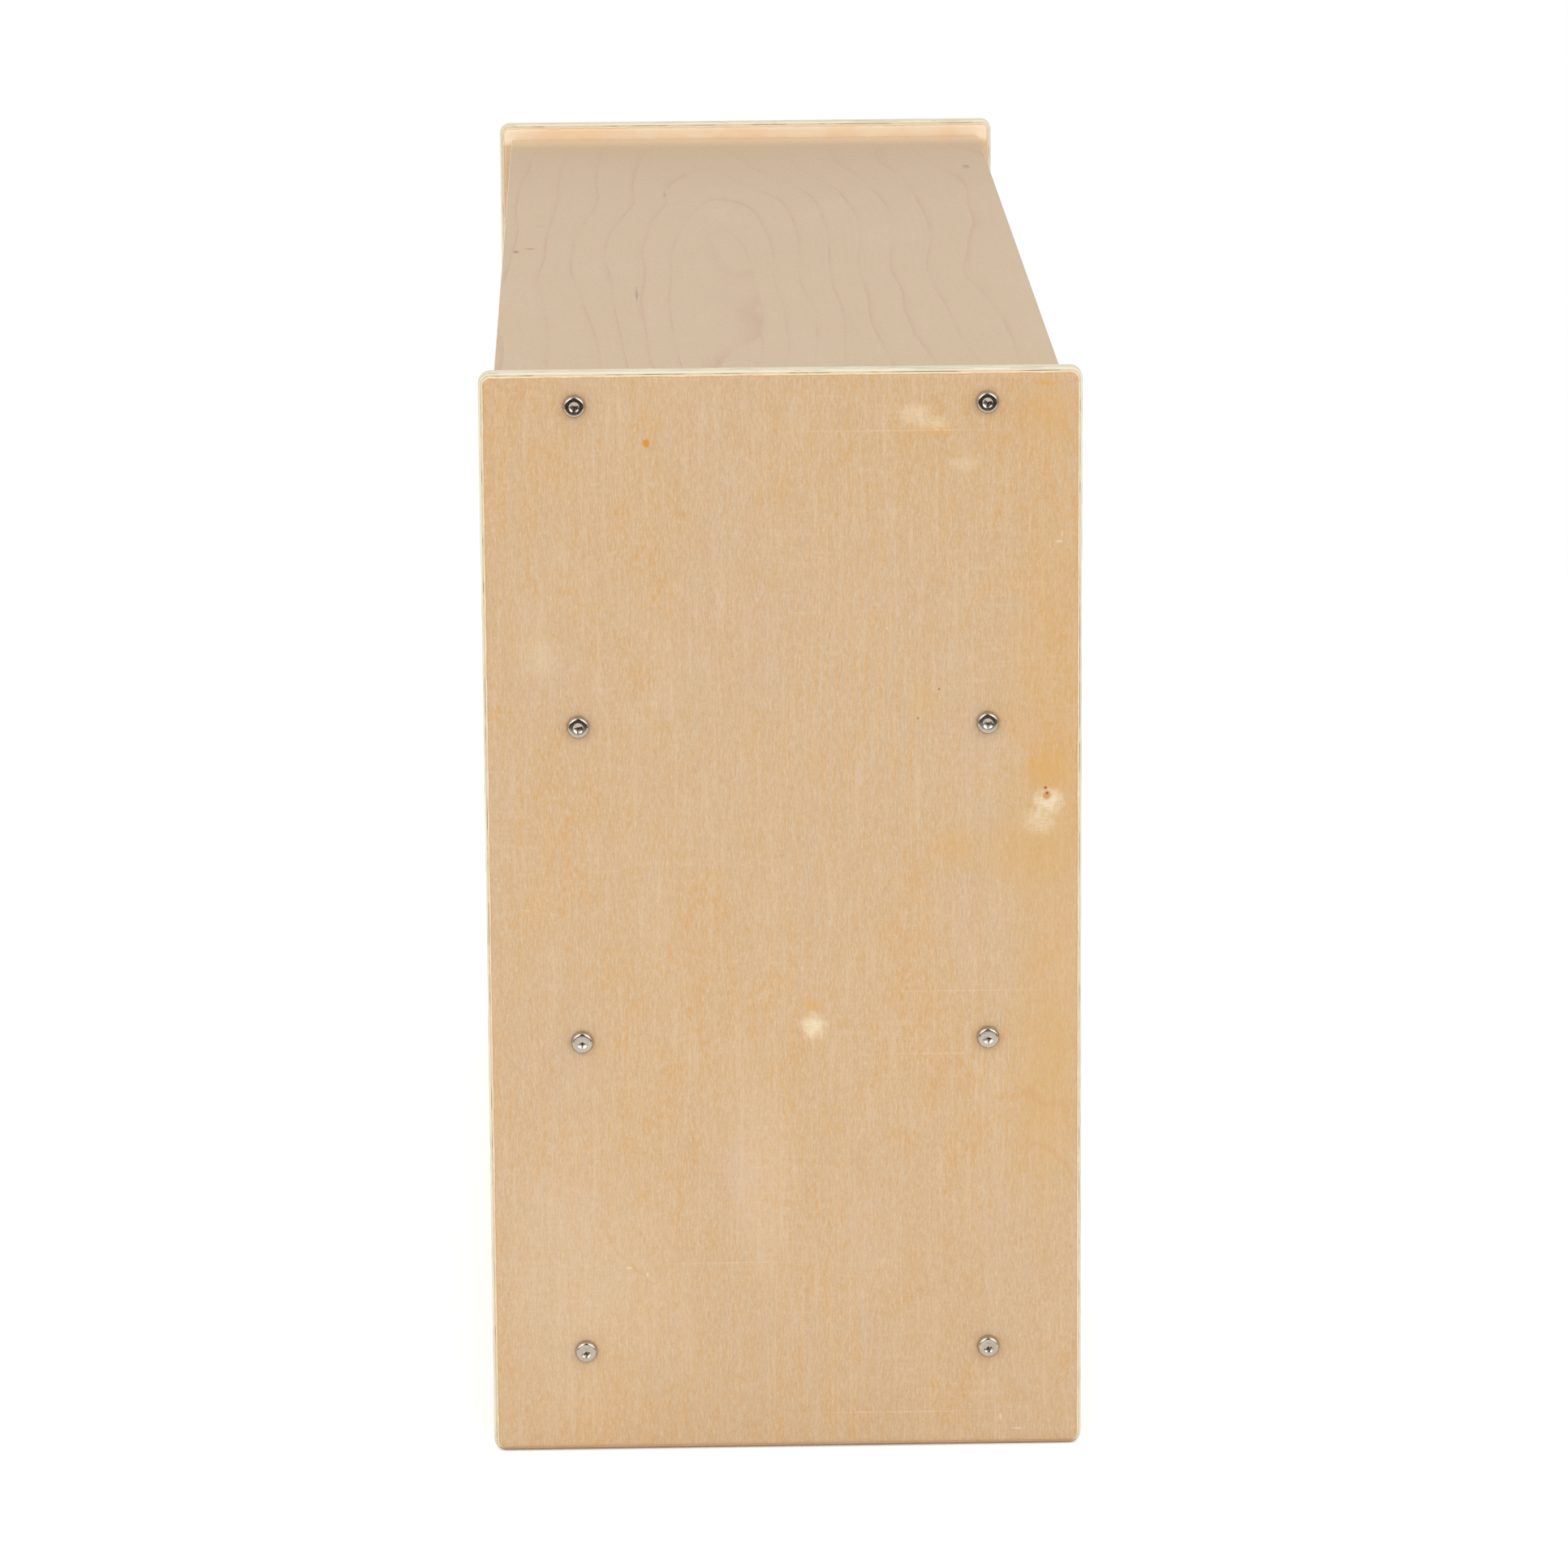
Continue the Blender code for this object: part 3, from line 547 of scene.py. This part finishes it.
figure = {
    # the wavy figure in the pale flares
    "wave": (900, 160, 0),
    "waveBand": (0.36, 0.62, 0.55, 1.0),
    # how the arches bend, where they fade, and their lines
    "bend": (24, 46, 0),
    "bendAmount": 0.075,
    "worn": (45, 45, 0),
    "wornBand": (0.40, 0.62),
    "archSoftness": 0.5,
    "archWobble": 0.10,
    "archWidth": 0.06,
    "archStrength": 0.40,
    "archPaint": toLinear(200, 152, 98),
}

# painted light: the pale band on the far panel's inner face, above the top
farLipLight = {
    "along": (0.2640, 0.2675),
    "depth": (0.0, -0.002),
    "cloud": (60, 45, 0),
    "cloudBand": (0.35, 0.65),
    "pale": toLinear(244, 225, 197),
    "golden": toLinear(243, 214, 177),
    "strength": 0.92,
}

# painted light: where the top is painted paler beside the far end panel, and its colour
topEndBounce = {
    "along": (0.4000, 0.4360, 0.0, 0.9),
    "paint": toLinear(214, 184, 147),
}


def spot(tree, vector, mark, softness, wobble):
    (along, across), (length, width) = mark
    return useGroup(tree, spotGroup, {
        "Vector": vector, "Centre": (along, across, 0.0), "Size": (length, width, 1.0),
        "Softness": softness, "Wobble": wobble})


def paintMarks(tree, vector, kind, marks, colour, fade=None):
    paint, share, softness, wobble = markPaints[kind]
    for place, size, *ownShare in marks:
        amount = ownShare[0] if ownShare else share
        if fade:
            amount = calc(tree, "MULTIPLY", fade, amount)
        mask = spot(tree, vector, (place, size), softness, wobble)["Mask"]
        colour = blendColour(tree, calc(tree, "MULTIPLY", mask, amount), colour, toLinear(*paint))
    return colour


def paintArches(tree, vector, colour):
    bend = waveNoise(tree, vector, figure["bend"], 9.0, detail=3.0)
    bend = calc(tree, "MULTIPLY", calc(tree, "SUBTRACT", bend, 0.5), figure["bendAmount"])
    bend = addNode(tree, "ShaderNodeCombineXYZ", {0: bend, 1: bend}).outputs[0]
    bent = vecCalc(tree, "ADD", vector, bend)
    worn = waveNoise(tree, vector, figure["worn"], 3.0, detail=2.0)
    worn = remap(tree, worn, *figure["wornBand"])
    for mark in sideMarks["arches"]:
        far = spot(tree, bent, mark, figure["archSoftness"], figure["archWobble"])["Distance"]
        line = calc(tree, "ABSOLUTE", calc(tree, "SUBTRACT", far, 1.0))
        line = remap(tree, line, 0.0, figure["archWidth"], 1.0, 0.0)
        line = calc(tree, "MULTIPLY", calc(tree, "MULTIPLY", line, worn), figure["archStrength"])
        colour = blendColour(tree, line, colour, figure["archPaint"])
    return colour


def sidePanelMarks(tree, vector, colour):
    colour = paintMarks(tree, vector, "golden", sideMarks["golden"], colour)
    wave = waveNoise(tree, vector, figure["wave"], 6.0, detail=3.0, distortion=1.5)
    wave = remap(tree, wave, *figure["waveBand"])
    colour = paintMarks(tree, vector, "cream", sideMarks["cream"], colour, wave)
    colour = paintArches(tree, vector, colour)
    for kind in ("scuffs", "nicks", "core", "resin", "knots", "dots"):
        colour = paintMarks(tree, vector, kind, sideMarks[kind], colour)
    return colour


def farPanelLight(tree, vector, colour):
    # painted light: the band that stands above the top is painted pale, standing in for the light and the
    # bounce from the top that fall on it
    along, across, depth = axesOf(tree, vector)
    band = calc(tree, "MULTIPLY", remap(tree, along, *farLipLight["along"]),
                remap(tree, depth, *farLipLight["depth"]))
    cloud = waveNoise(tree, vector, farLipLight["cloud"], 4.0, detail=3.0)
    cloud = remap(tree, cloud, *farLipLight["cloudBand"])
    paint = blendColour(tree, cloud, farLipLight["pale"], farLipLight["golden"])
    return blendColour(tree, calc(tree, "MULTIPLY", band, farLipLight["strength"]), colour, paint)


def topPanelMarks(tree, vector, colour):
    # painted shade: the top is painted darker towards its far end, standing in for the shading there
    colour = paintMarks(tree, vector, "farEndShade", topMarks["farEndShade"], colour)
    # painted light: paler beside the far end panel, standing in for the light bounced off it
    paler = remap(tree, axesOf(tree, vector)[0], *topEndBounce["along"])
    colour = blendColour(tree, paler, colour, topEndBounce["paint"])
    return paintMarks(tree, vector, "streaks", topMarks["streaks"], colour)


boardMarks = {"side_panel_left": sidePanelMarks, "side_panel_right": farPanelLight,
              "top_panel": topPanelMarks}

boardEdges = {
    "sidePanel": {"corner": 0.006, "round": 0.0045, "cornerSteps": 8, "roundSteps": 7},
    "plain": {"round": 0.0016, "roundSteps": 4},
    "flap": {"round": 0.0058, "roundSteps": 8},
    "hand": {"width": 0.100, "height": 0.032, "drop": 0.052, "steps": 10},
}
touching = 1e-6
merging = 1e-7
sharpTurn = radians(60)


def boxBmesh(low, high):
    bm = bmesh.new()
    size = high - low
    place = Matrix.Translation((low + high) / 2) @ Matrix.Diagonal((*size, 1.0))
    bmesh.ops.create_cube(bm, size=1.0, matrix=place)
    return bm


def bevel(bm, edges, width, steps):
    bmesh.ops.bevel(bm, geom=edges, offset=width, offset_type="OFFSET", affect="EDGES",
                    segments=steps, profile=0.5, material=-1, clamp_overlap=False)


def alongAxis(edge, axis):
    line = edge.verts[0].co - edge.verts[1].co
    return abs(line[axis]) > 0.9 * line.length


def sharpEdges(bm):
    return [e for e in bm.edges if e.is_manifold and e.calc_face_angle() > sharpTurn]


def finishPiece(name, bm, body, material, replaced, sharpAngle=35):
    bmesh.ops.recalc_face_normals(bm, faces=bm.faces)
    mesh = bpy.data.meshes.new(name)
    bm.to_mesh(mesh)
    bm.free()
    mesh.shade_smooth()
    mesh.set_sharp_from_angle(angle=radians(sharpAngle))
    mesh.materials.append(material)
    piece = bpy.data.objects.new(name, mesh)
    bpy.context.scene.collection.objects.link(piece)
    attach(piece, body)
    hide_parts(*replaced)
    return piece


def weightNormals(piece):
    # keeps the flat faces flat beside their smooth rounded edges
    modifier = piece.modifiers.new("flat faces", "WEIGHTED_NORMAL")
    modifier.keep_sharp = True
    modifier.weight = 100


def bodyOf(node):
    for name, members in frame["record"]["behaviour"]["bodies"].items():
        if node in members:
            return name


def sidePanelBmesh(low, high):
    edge = boardEdges["sidePanel"]
    bm = boxBmesh(low, high)
    bevel(bm, [e for e in bm.edges if alongAxis(e, 0)], edge["corner"], edge["cornerSteps"])
    faceX = (low.x, high.x)
    rims = [e for e in bm.edges
            if any(all(abs(v.co.x - x) < touching for v in e.verts) for x in faceX)]
    bevel(bm, rims, edge["round"], edge["roundSteps"])
    return bm


def plainBoardBmesh(low, high):
    edge = boardEdges["plain"]
    bm = boxBmesh(low, high)
    bevel(bm, bm.edges[:], edge["round"], edge["roundSteps"])
    return bm


def flapBmesh(low, high):
    bm = boxBmesh(low, high)
    top = [e for e in bm.edges if alongAxis(e, 0) and e.verts[0].co.z > high.z - touching]
    bevel(bm, top, boardEdges["flap"]["round"], boardEdges["flap"]["roundSteps"])
    edge = boardEdges["plain"]
    bevel(bm, sharpEdges(bm), edge["round"], edge["roundSteps"])
    return bm


def handHoleBoardBmesh(low, high):
    # the hole's outline is drawn first and the board grown from it, so the rim can be rounded
    hole = boardEdges["hand"]
    centre = (low + high) / 2
    holeZ = high.z - hole["drop"]
    radius = hole["height"] / 2
    bm = bmesh.new()
    outer = [bm.verts.new((x, low.y, z)) for x, z in
             ((low.x, low.z), (high.x, low.z), (high.x, high.z), (low.x, high.z))]
    inner = []
    for side in (1, -1):
        for step in range(hole["steps"] + 1):
            turn = -pi / 2 + pi * step / hole["steps"]
            x = centre.x + side * (hole["width"] / 2 - radius + radius * cos(turn))
            inner.append(bm.verts.new((x, low.y, holeZ + side * radius * sin(turn))))
    edges = []
    for loop in (outer, inner):
        edges += [bm.edges.new(pair) for pair in zip(loop, loop[1:] + loop[:1])]
    bmesh.ops.triangle_fill(bm, edges=edges, use_beauty=True, use_dissolve=False)
    joints = [e for e in bm.edges if not e.is_boundary]
    bmesh.ops.dissolve_limit(bm, angle_limit=radians(1), verts=bm.verts[:], edges=joints)
    grown = bmesh.ops.extrude_face_region(bm, geom=bm.faces[:])["geom"]
    moved = [g for g in grown if isinstance(g, bmesh.types.BMVert)]
    bmesh.ops.translate(bm, verts=moved, vec=(0, high.y - low.y, 0))
    bmesh.ops.recalc_face_normals(bm, faces=bm.faces)
    edge = boardEdges["plain"]
    bevel(bm, sharpEdges(bm), edge["round"], edge["roundSteps"])
    return bm


def makeBoards():
    for number, (node, (grain, thick, plies, tone)) in enumerate(boardLooks.items()):
        low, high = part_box(node)
        seed = birch["seed"] + birch["seedStep"] * number
        material = birchMaterial(f"birch {node}", low, high, grain, thick, plies, tone, seed,
                                 boardMarks.get(node))
        if node.startswith("side_panel"):
            bm = sidePanelBmesh(low, high)
        elif node.startswith("flap"):
            bm = flapBmesh(low, high)
        elif node.startswith("bin") and node.endswith("front"):
            bm = handHoleBoardBmesh(low, high)
        else:
            bm = plainBoardBmesh(low, high)
        piece = finishPiece(f"{node}_ply", bm, bodyOf(node), material, (node,))
        weightNormals(piece)
    print("boards made:", len(boardLooks))


beech = {
    "base": toLinear(197, 156, 118),
    "warm": toLinear(184, 134, 90),
    "pale": toLinear(210, 178, 145),
    "ring": toLinear(162, 112, 75),
    "rings": 16.0,
    "ringStrength": 0.5,
    "flecks": 0.6,
    "warmth": 0.6,
    "slant": 0.8,
    "roughness": 0.42,
    "coat": 0.1,
    "coatRoughness": 0.3,
    "bumpDistance": 0.00004,
    "bumpStrength": 0.5,
    "seed": 40.0,
    "seedStep": 2.3,
    "round": 0.0022,
    "roundSteps": 4,
}


def beechMaterial(name, low, high, grain, thick, seed):
    material, tree, shader = newMaterial(name, **{
        "Coat Weight": beech["coat"], "Coat Roughness": beech["coatRoughness"]})
    vector = boardVector(tree, (low + high) / 2, grain, thick)
    # solid wood: the grain slants through the batten, so it runs lengthwise on all four sides
    along, across, depth = axesOf(tree, vector)
    slant = calc(tree, "MULTIPLY_ADD", depth, beech["slant"], across)
    vector = addNode(tree, "ShaderNodeCombineXYZ", {0: along, 1: slant}).outputs[0]
    face = useGroup(tree, veneerGroup, {
        "Vector": vector, "Seed": seed, "Base": beech["base"], "Warm": beech["warm"],
        "Pale": beech["pale"], "Ring Colour": beech["ring"], "Rings": beech["rings"],
        "Ring Strength": beech["ringStrength"], "Fleck Strength": beech["flecks"],
        "Warmth": beech["warmth"], **noOval})
    tree.links.new(face["Color"], shader.inputs["Base Color"])
    roughness = calc(tree, "ADD", face["Roughness"], beech["roughness"])
    tree.links.new(roughness, shader.inputs["Roughness"])
    addBump(tree, shader, face["Height"], beech["bumpDistance"], beech["bumpStrength"])
    return material


def makeBattens():
    nodes = {"flap_stop_strip": ("X", "Z")}
    for bay in ("left", "right"):
        for place in ("outer", "inner"):
            nodes[f"bin_guide_{bay}_{place}"] = ("Y", "X")
    for number, (node, (grain, thick)) in enumerate(nodes.items()):
        low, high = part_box(node)
        bm = boxBmesh(low, high)
        bevel(bm, bm.edges[:], beech["round"], beech["roundSteps"])
        seed = beech["seed"] + beech["seedStep"] * number
        material = beechMaterial(f"beech {node}", low, high, grain, thick, seed)
        piece = finishPiece(f"{node}_beech", bm, bodyOf(node), material, (node,))
        weightNormals(piece)
    print("battens made:", len(nodes))


bolt = {
    "headRadius": 0.0057,
    "rim": 0.0005,
    "height": 0.0033,
    "flatRadius": 0.00410,
    "domeSteps": 9,
    "chamferRadius": 0.00262,
    "socketWidth": 0.0040,
    "socketDepth": 0.0021,
    "floorDrop": 0.0006,
    "floorShare": 0.02,
    "hexagonDrop": 0.0003,
    "seatChamfer": 0.0002,
    "shankRadius": 0.003,
    "tipLength": 0.0006,
    "tipShare": 0.8,
    "around": 48,
    # how far each head is turned, in degrees: the first one, and the step to the next
    "firstTurn": 17,
    "turnStep": 47,
}

nickel = {
    "pale": toLinear(200, 190, 178),
    "dark": toLinear(178, 168, 154),
    "cloud": (500, 500, 500),
    "fine": (4200, 4200, 4200),
    "roughness": (0.3, 0.7, 0.13, 0.22),
    "bumpDistance": 0.000004,
    "bumpStrength": 0.5,
}


def nickelMaterial():
    material, tree, shader = newMaterial("nickel plate", Metallic=1.0)
    coords = objectCoords(tree)
    cloud = waveNoise(tree, coords, nickel["cloud"], 1.0, detail=3.0)
    fine = waveNoise(tree, coords, nickel["fine"], 2.0, detail=2.0)
    tint = blendColour(tree, cloud, nickel["pale"], nickel["dark"])
    tree.links.new(tint, shader.inputs["Base Color"])
    roughness = remap(tree, cloud, *nickel["roughness"], False)
    tree.links.new(roughness, shader.inputs["Roughness"])
    addBump(tree, shader, fine, nickel["bumpDistance"], nickel["bumpStrength"])
    return material


def turnedAboutX(profile, around):
    bm = bmesh.new()
    verts = [bm.verts.new((x, 0.0, radius)) for radius, x in profile]
    line = [bm.edges.new(pair) for pair in zip(verts, verts[1:])]
    bmesh.ops.spin(bm, geom=verts + line, cent=(0, 0, 0), axis=(1, 0, 0), angle=2 * pi,
                   steps=around, use_merge=True)
    bmesh.ops.remove_doubles(bm, verts=bm.verts, dist=merging)
    return bm


def boltBmesh(length):
    # turned about X: the head's seat is at x = 0 and the shank points to +x
    top = -bolt["height"]
    shank, head, chamfer = bolt["shankRadius"], bolt["headRadius"], bolt["seatChamfer"]
    profile = [(0.0, length), (shank * bolt["tipShare"], length), (shank, length - bolt["tipLength"]),
               (shank, 0.0), (head - chamfer, 0.0), (head, -chamfer), (head, -bolt["rim"])]
    reach = head - bolt["flatRadius"]
    for step in range(1, bolt["domeSteps"] + 1):
        turn = step / bolt["domeSteps"] * pi / 2
        profile.append((bolt["flatRadius"] + reach * cos(turn),
                        -bolt["rim"] + (top + bolt["rim"]) * sin(turn)))
    profile.append((bolt["chamferRadius"], top))
    bm = turnedAboutX(profile, bolt["around"])
    drawSocket(bm)
    return bm


def drawSocket(bm):
    # the round chamfer narrows to a hexagon, which goes down to a drilled floor
    def rimEdges():
        return [e for e in bm.edges if e.is_boundary]

    def nextRing():
        made = bmesh.ops.extrude_edge_only(bm, edges=rimEdges())["geom"]
        return [g for g in made if isinstance(g, bmesh.types.BMVert)]

    sixth = pi / 3
    for vert in nextRing():
        flat = Vector((vert.co.y, vert.co.z))
        turn = Vector((0, 1)).angle_signed(flat) % sixth - sixth / 2
        flat = flat.normalized() * (bolt["socketWidth"] / 2 / cos(turn))
        vert.co = (vert.co.x + bolt["hexagonDrop"], flat.x, flat.y)
    for vert in nextRing():
        vert.co.x += bolt["socketDepth"]
    for vert in nextRing():
        share = bolt["floorShare"]
        vert.co = (vert.co.x + bolt["floorDrop"], vert.co.y * share, vert.co.z * share)
    bmesh.ops.holes_fill(bm, edges=rimEdges(), sides=0)


def makeBolts():
    plate = nickelMaterial()
    nodes = [n for n in frame["nodes"] if n.startswith("bolt_")]
    for number, node in enumerate(sorted(nodes)):
        low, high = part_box(node)
        centre = (low + high) / 2
        bm = boltBmesh(high.x - low.x - bolt["height"])
        spinTurn = Matrix.Rotation(radians(bolt["firstTurn"] + bolt["turnStep"] * number), 4, "X")
        if centre.x < 0:
            place = Matrix.Translation((low.x + bolt["height"], centre.y, centre.z)) @ spinTurn
        else:
            place = Matrix.Translation((high.x - bolt["height"], centre.y, centre.z))
            place = place @ Matrix.Rotation(pi, 4, "Z") @ spinTurn
        bmesh.ops.transform(bm, matrix=place, verts=bm.verts)
        finishPiece(f"{node}_nickel", bm, "frame", plate, (node,), 25)
    print("bolts made:", len(nodes))


pin = {
    "pale": toLinear(178, 180, 184),
    "dark": toLinear(150, 152, 158),
    "turned": (6000, 200, 200),
    "roughness": (0.3, 0.7, 0.22, 0.36),
    "bumpDistance": 0.00001,
    "bumpStrength": 0.4,
    "chamfer": 0.0005,
    "around": 32,
}

plastics = {
    # the start of the nodes' names: material, light and dark colour, roughness, grains per metre
    "bush_": ("nylon", toLinear(236, 233, 224), toLinear(222, 218, 206), 0.46, 900),
    "bumper_": ("rubber", toLinear(48, 47, 46), toLinear(34, 33, 33), 0.78, 1600),
}
plastic = {
    "roughnessSpread": 0.06,
    "bumpDistance": 0.00003,
    "bumpStrength": 0.5,
}


def steelMaterial():
    material, tree, shader = newMaterial("ground steel", Metallic=1.0)
    turned = waveNoise(tree, objectCoords(tree), pin["turned"], 1.0, detail=2.0)
    tint = blendColour(tree, turned, pin["pale"], pin["dark"])
    tree.links.new(tint, shader.inputs["Base Color"])
    roughness = remap(tree, turned, *pin["roughness"], False)
    tree.links.new(roughness, shader.inputs["Roughness"])
    addBump(tree, shader, turned, pin["bumpDistance"], pin["bumpStrength"])
    return material


def plasticMaterial(name, light, dark, roughness, grain):
    material, tree, shader = newMaterial(name)
    cloud = waveNoise(tree, objectCoords(tree), (grain, grain, grain), 1.0, detail=3.0)
    tree.links.new(blendColour(tree, cloud, light, dark), shader.inputs["Base Color"])
    spread = plastic["roughnessSpread"]
    spread = remap(tree, cloud, 0.3, 0.7, roughness - spread, roughness + spread, False)
    tree.links.new(spread, shader.inputs["Roughness"])
    addBump(tree, shader, cloud, plastic["bumpDistance"], plastic["bumpStrength"])
    return material


def makeHingeParts():
    steel = steelMaterial()
    chamfer = pin["chamfer"]
    for node in ("pivot_pin_left", "pivot_pin_centre", "pivot_pin_right"):
        low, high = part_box(node)
        radius = (high.z - low.z) / 2
        half = (high.x - low.x) / 2
        bm = turnedAboutX([(0.0, -half), (radius - chamfer, -half), (radius, -half + chamfer),
                           (radius, half - chamfer), (radius - chamfer, half), (0.0, half)],
                          pin["around"])
        bmesh.ops.translate(bm, verts=bm.verts, vec=(low + high) / 2)
        finishPiece(f"{node}_steel", bm, "frame", steel, (node,))
    # the bushes and the bumpers are shown as they are, in their own materials
    for start, look in plastics.items():
        material = plasticMaterial(*look)
        for node in [n for n in frame["nodes"] if n.startswith(start)]:
            frame["nodes"][node].data.materials.clear()
            frame["nodes"][node].data.materials.append(material)
    print("hinge parts made")


pad = {
    "light": toLinear(112, 120, 128),
    "dark": toLinear(78, 86, 94),
    "shadow": toLinear(60, 66, 72),
    "sheen": 0.35,
    "roughness": 0.95,
    "fibres": (900, 900, 900),
    "fibreBand": (0.35, 0.65),
    "clouds": (40, 40, 40),
    "cloudShare": 0.25,
    "bumpDistance": 0.0004,
    "bumpStrength": 0.6,
    "crown": 0.0012,
    # the crown's shape: how flat it is in the middle, and how much of it is level or rippled
    "flatness": 6,
    "level": 0.6,
    "ripple": 0.4,
    "ripples": ((9, 2), (-3, 7)),
    "cuts": 26,
    "round": 0.0045,
    "roundSteps": 5,
    "longEdge": 0.1,
}


def feltMaterial():
    material, tree, shader = newMaterial("grey felt", **{
        "Sheen Weight": pad["sheen"], "Roughness": pad["roughness"]})
    coords = objectCoords(tree)
    fibre = waveNoise(tree, coords, pad["fibres"], 1.0, detail=5.0, roughness=0.7, distortion=1.2)
    cloud = waveNoise(tree, coords, pad["clouds"], 3.0, detail=3.0)
    colour = blendColour(tree, remap(tree, fibre, *pad["fibreBand"]), pad["dark"], pad["light"])
    cloud = calc(tree, "MULTIPLY", cloud, pad["cloudShare"])
    colour = blendColour(tree, cloud, colour, pad["shadow"])
    tree.links.new(colour, shader.inputs["Base Color"])
    addBump(tree, shader, fibre, pad["bumpDistance"], pad["bumpStrength"])
    return material


def makePads():
    felt = feltMaterial()
    for bay in ("left", "right"):
        node = f"bin_{bay}_pad"
        low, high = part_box(node)
        high.z -= pad["crown"]
        bm = boxBmesh(low, high)
        bevel(bm, bm.edges[:], pad["round"], pad["roundSteps"])
        long = [e for e in bm.edges if e.calc_length() > pad["longEdge"]]
        bmesh.ops.subdivide_edges(bm, edges=long, cuts=pad["cuts"], use_grid_fill=True)
        middle, half = (low + high) / 2, (high - low) / 2
        for vert in bm.verts:
            if vert.co.z > middle.z:
                u = (vert.co.x - middle.x) / half.x
                v = (vert.co.y - middle.y) / half.y
                swell = max(0.0, (1 - u ** pad["flatness"]) * (1 - v ** pad["flatness"]))
                first, second = (sin(a * u + b * v) for a, b in pad["ripples"])
                ripple = 0.5 + 0.5 * first * second
                vert.co.z += pad["crown"] * swell * (pad["level"] + pad["ripple"] * ripple)
        piece = finishPiece(f"{node}_felt", bm, bodyOf(node), felt, (node,), 60)
    print("pads made")


studio = {
    "camera": (-4.1694, 0.0836, 1.1859),
    "yaw": -1.294,
    "pitch": -12.74,
    "roll": -0.404,
    "lens": 175.29,
    "sensor": 36.0,
    "farthest": 100.0,
    "floor": toLinear(250, 250, 249),
    "floorRadius": 1.9,
    "floorSteps": 64,
    "floorRoughness": 0.9,
    "floorSpecular": 0.1,
    "floorGlow": 0.30,
    "world": 1.06,
    "lamp": 14.0,
    "middle": (0, 0, 0.28),
    "wall": (0.62, 0.61, 0.59, 1),
    "dark": (0.050, 0.036, 0.026, 1),
    "panel": (2.2, 2.2, 2.2, 1),
    "white": (1, 1, 1, 1),
    "wallEnds": (-0.75, -0.25),
    "panelSides": (0.16, 0.26),
    "panelFoot": (0.16, 0.28),
    "panelBack": (-0.30, -0.10, 1.0, 0.0),
}

lamps = {
    # name: place, size, share of the power
    "key left": ((-3.0, 2.2, 2.4), (1.2, 1.2), 1.0),
    "key right": ((-3.0, -2.4, 2.4), (1.2, 1.2), 1.0),
    "front fill": ((0.6, -3.6, 2.2), (2.2, 1.6), 0.6),
    "back fill": ((0.6, 3.6, 2.4), (2.2, 1.6), 0.6),
}


def makeCamera():
    camera = bpy.data.cameras.new("camera")
    camera.lens = studio["lens"]
    camera.sensor_width = studio["sensor"]
    camera.clip_end = studio["farthest"]
    holder = bpy.data.objects.new("camera", camera)
    bpy.context.scene.collection.objects.link(holder)
    holder.location = studio["camera"]
    yaw, pitch = radians(studio["yaw"]), radians(studio["pitch"])
    ahead = Vector((cos(pitch) * cos(yaw), cos(pitch) * sin(yaw), sin(pitch)))
    turn = ahead.to_track_quat("-Z", "Y").to_matrix().to_4x4()
    roll = Matrix.Rotation(radians(studio["roll"]), 4, "Z")
    holder.rotation_euler = (turn @ roll).to_euler()
    bpy.context.scene.camera = holder


def addLight(name, place, size, power):
    lamp = bpy.data.lights.new(name, "AREA")
    lamp.shape = "RECTANGLE"
    lamp.size, lamp.size_y = size
    lamp.energy = power
    holder = bpy.data.objects.new(name, lamp)
    bpy.context.scene.collection.objects.link(holder)
    holder.location = place
    ahead = Vector(studio["middle"]) - Vector(place)
    holder.rotation_euler = ahead.to_track_quat("-Z", "Y").to_euler()
    holder.visible_camera = False


def makeStudio():
    makeCamera()
    bpy.context.scene.view_settings.view_transform = "Standard"
    world = bpy.data.worlds.new("studio")
    bpy.context.scene.world = world
    world.use_nodes = True
    tree = world.node_tree
    background = tree.nodes["Background"]
    # what gloss reflects: pale walls, a dark room before the near end, two bright panels above it
    rays = addNode(tree, "ShaderNodeLightPath").outputs
    way = addNode(tree, "ShaderNodeTexCoord").outputs["Generated"]
    wayX, wayY, wayZ = axesOf(tree, way)
    room = blendColour(tree, remap(tree, wayX, *studio["wallEnds"]), studio["dark"], studio["wall"])
    side = remap(tree, calc(tree, "ABSOLUTE", wayY), *studio["panelSides"])
    panels = calc(tree, "MULTIPLY", side, remap(tree, wayZ, *studio["panelFoot"]))
    panels = calc(tree, "MULTIPLY", panels, remap(tree, wayX, *studio["panelBack"]))
    room = blendColour(tree, panels, room, studio["panel"])
    light = blendColour(tree, rays["Is Glossy Ray"], (studio["world"],) * 3 + (1,), room)
    light = blendColour(tree, rays["Is Camera Ray"], light, studio["white"])
    tree.links.new(light, background.inputs["Color"])
    for name, (place, size, share) in lamps.items():
        addLight(name, place, size, share * studio["lamp"])
    makeFloor()
    print("studio made")


def makeFloor():
    # a round white table top: past its rim the camera sees the white world
    bm = bmesh.new()
    bmesh.ops.create_circle(bm, cap_ends=True, segments=studio["floorSteps"],
                            radius=studio["floorRadius"])
    mesh = bpy.data.meshes.new("floor")
    bm.to_mesh(mesh)
    bm.free()
    floor = bpy.data.objects.new("floor", mesh)
    bpy.context.scene.collection.objects.link(floor)
    material, tree, shader = newMaterial("floor", **{
        "Base Color": studio["floor"], "Roughness": studio["floorRoughness"],
        "Specular IOR Level": studio["floorSpecular"], "Emission Color": studio["white"]})
    seen = addNode(tree, "ShaderNodeLightPath").outputs["Is Camera Ray"]
    tree.links.new(calc(tree, "MULTIPLY", seen, studio["floorGlow"]), shader.inputs["Emission Strength"])
    mesh.materials.append(material)


makeBoards()
makeBattens()
makeBolts()
makeHingeParts()
makePads()
makeStudio()
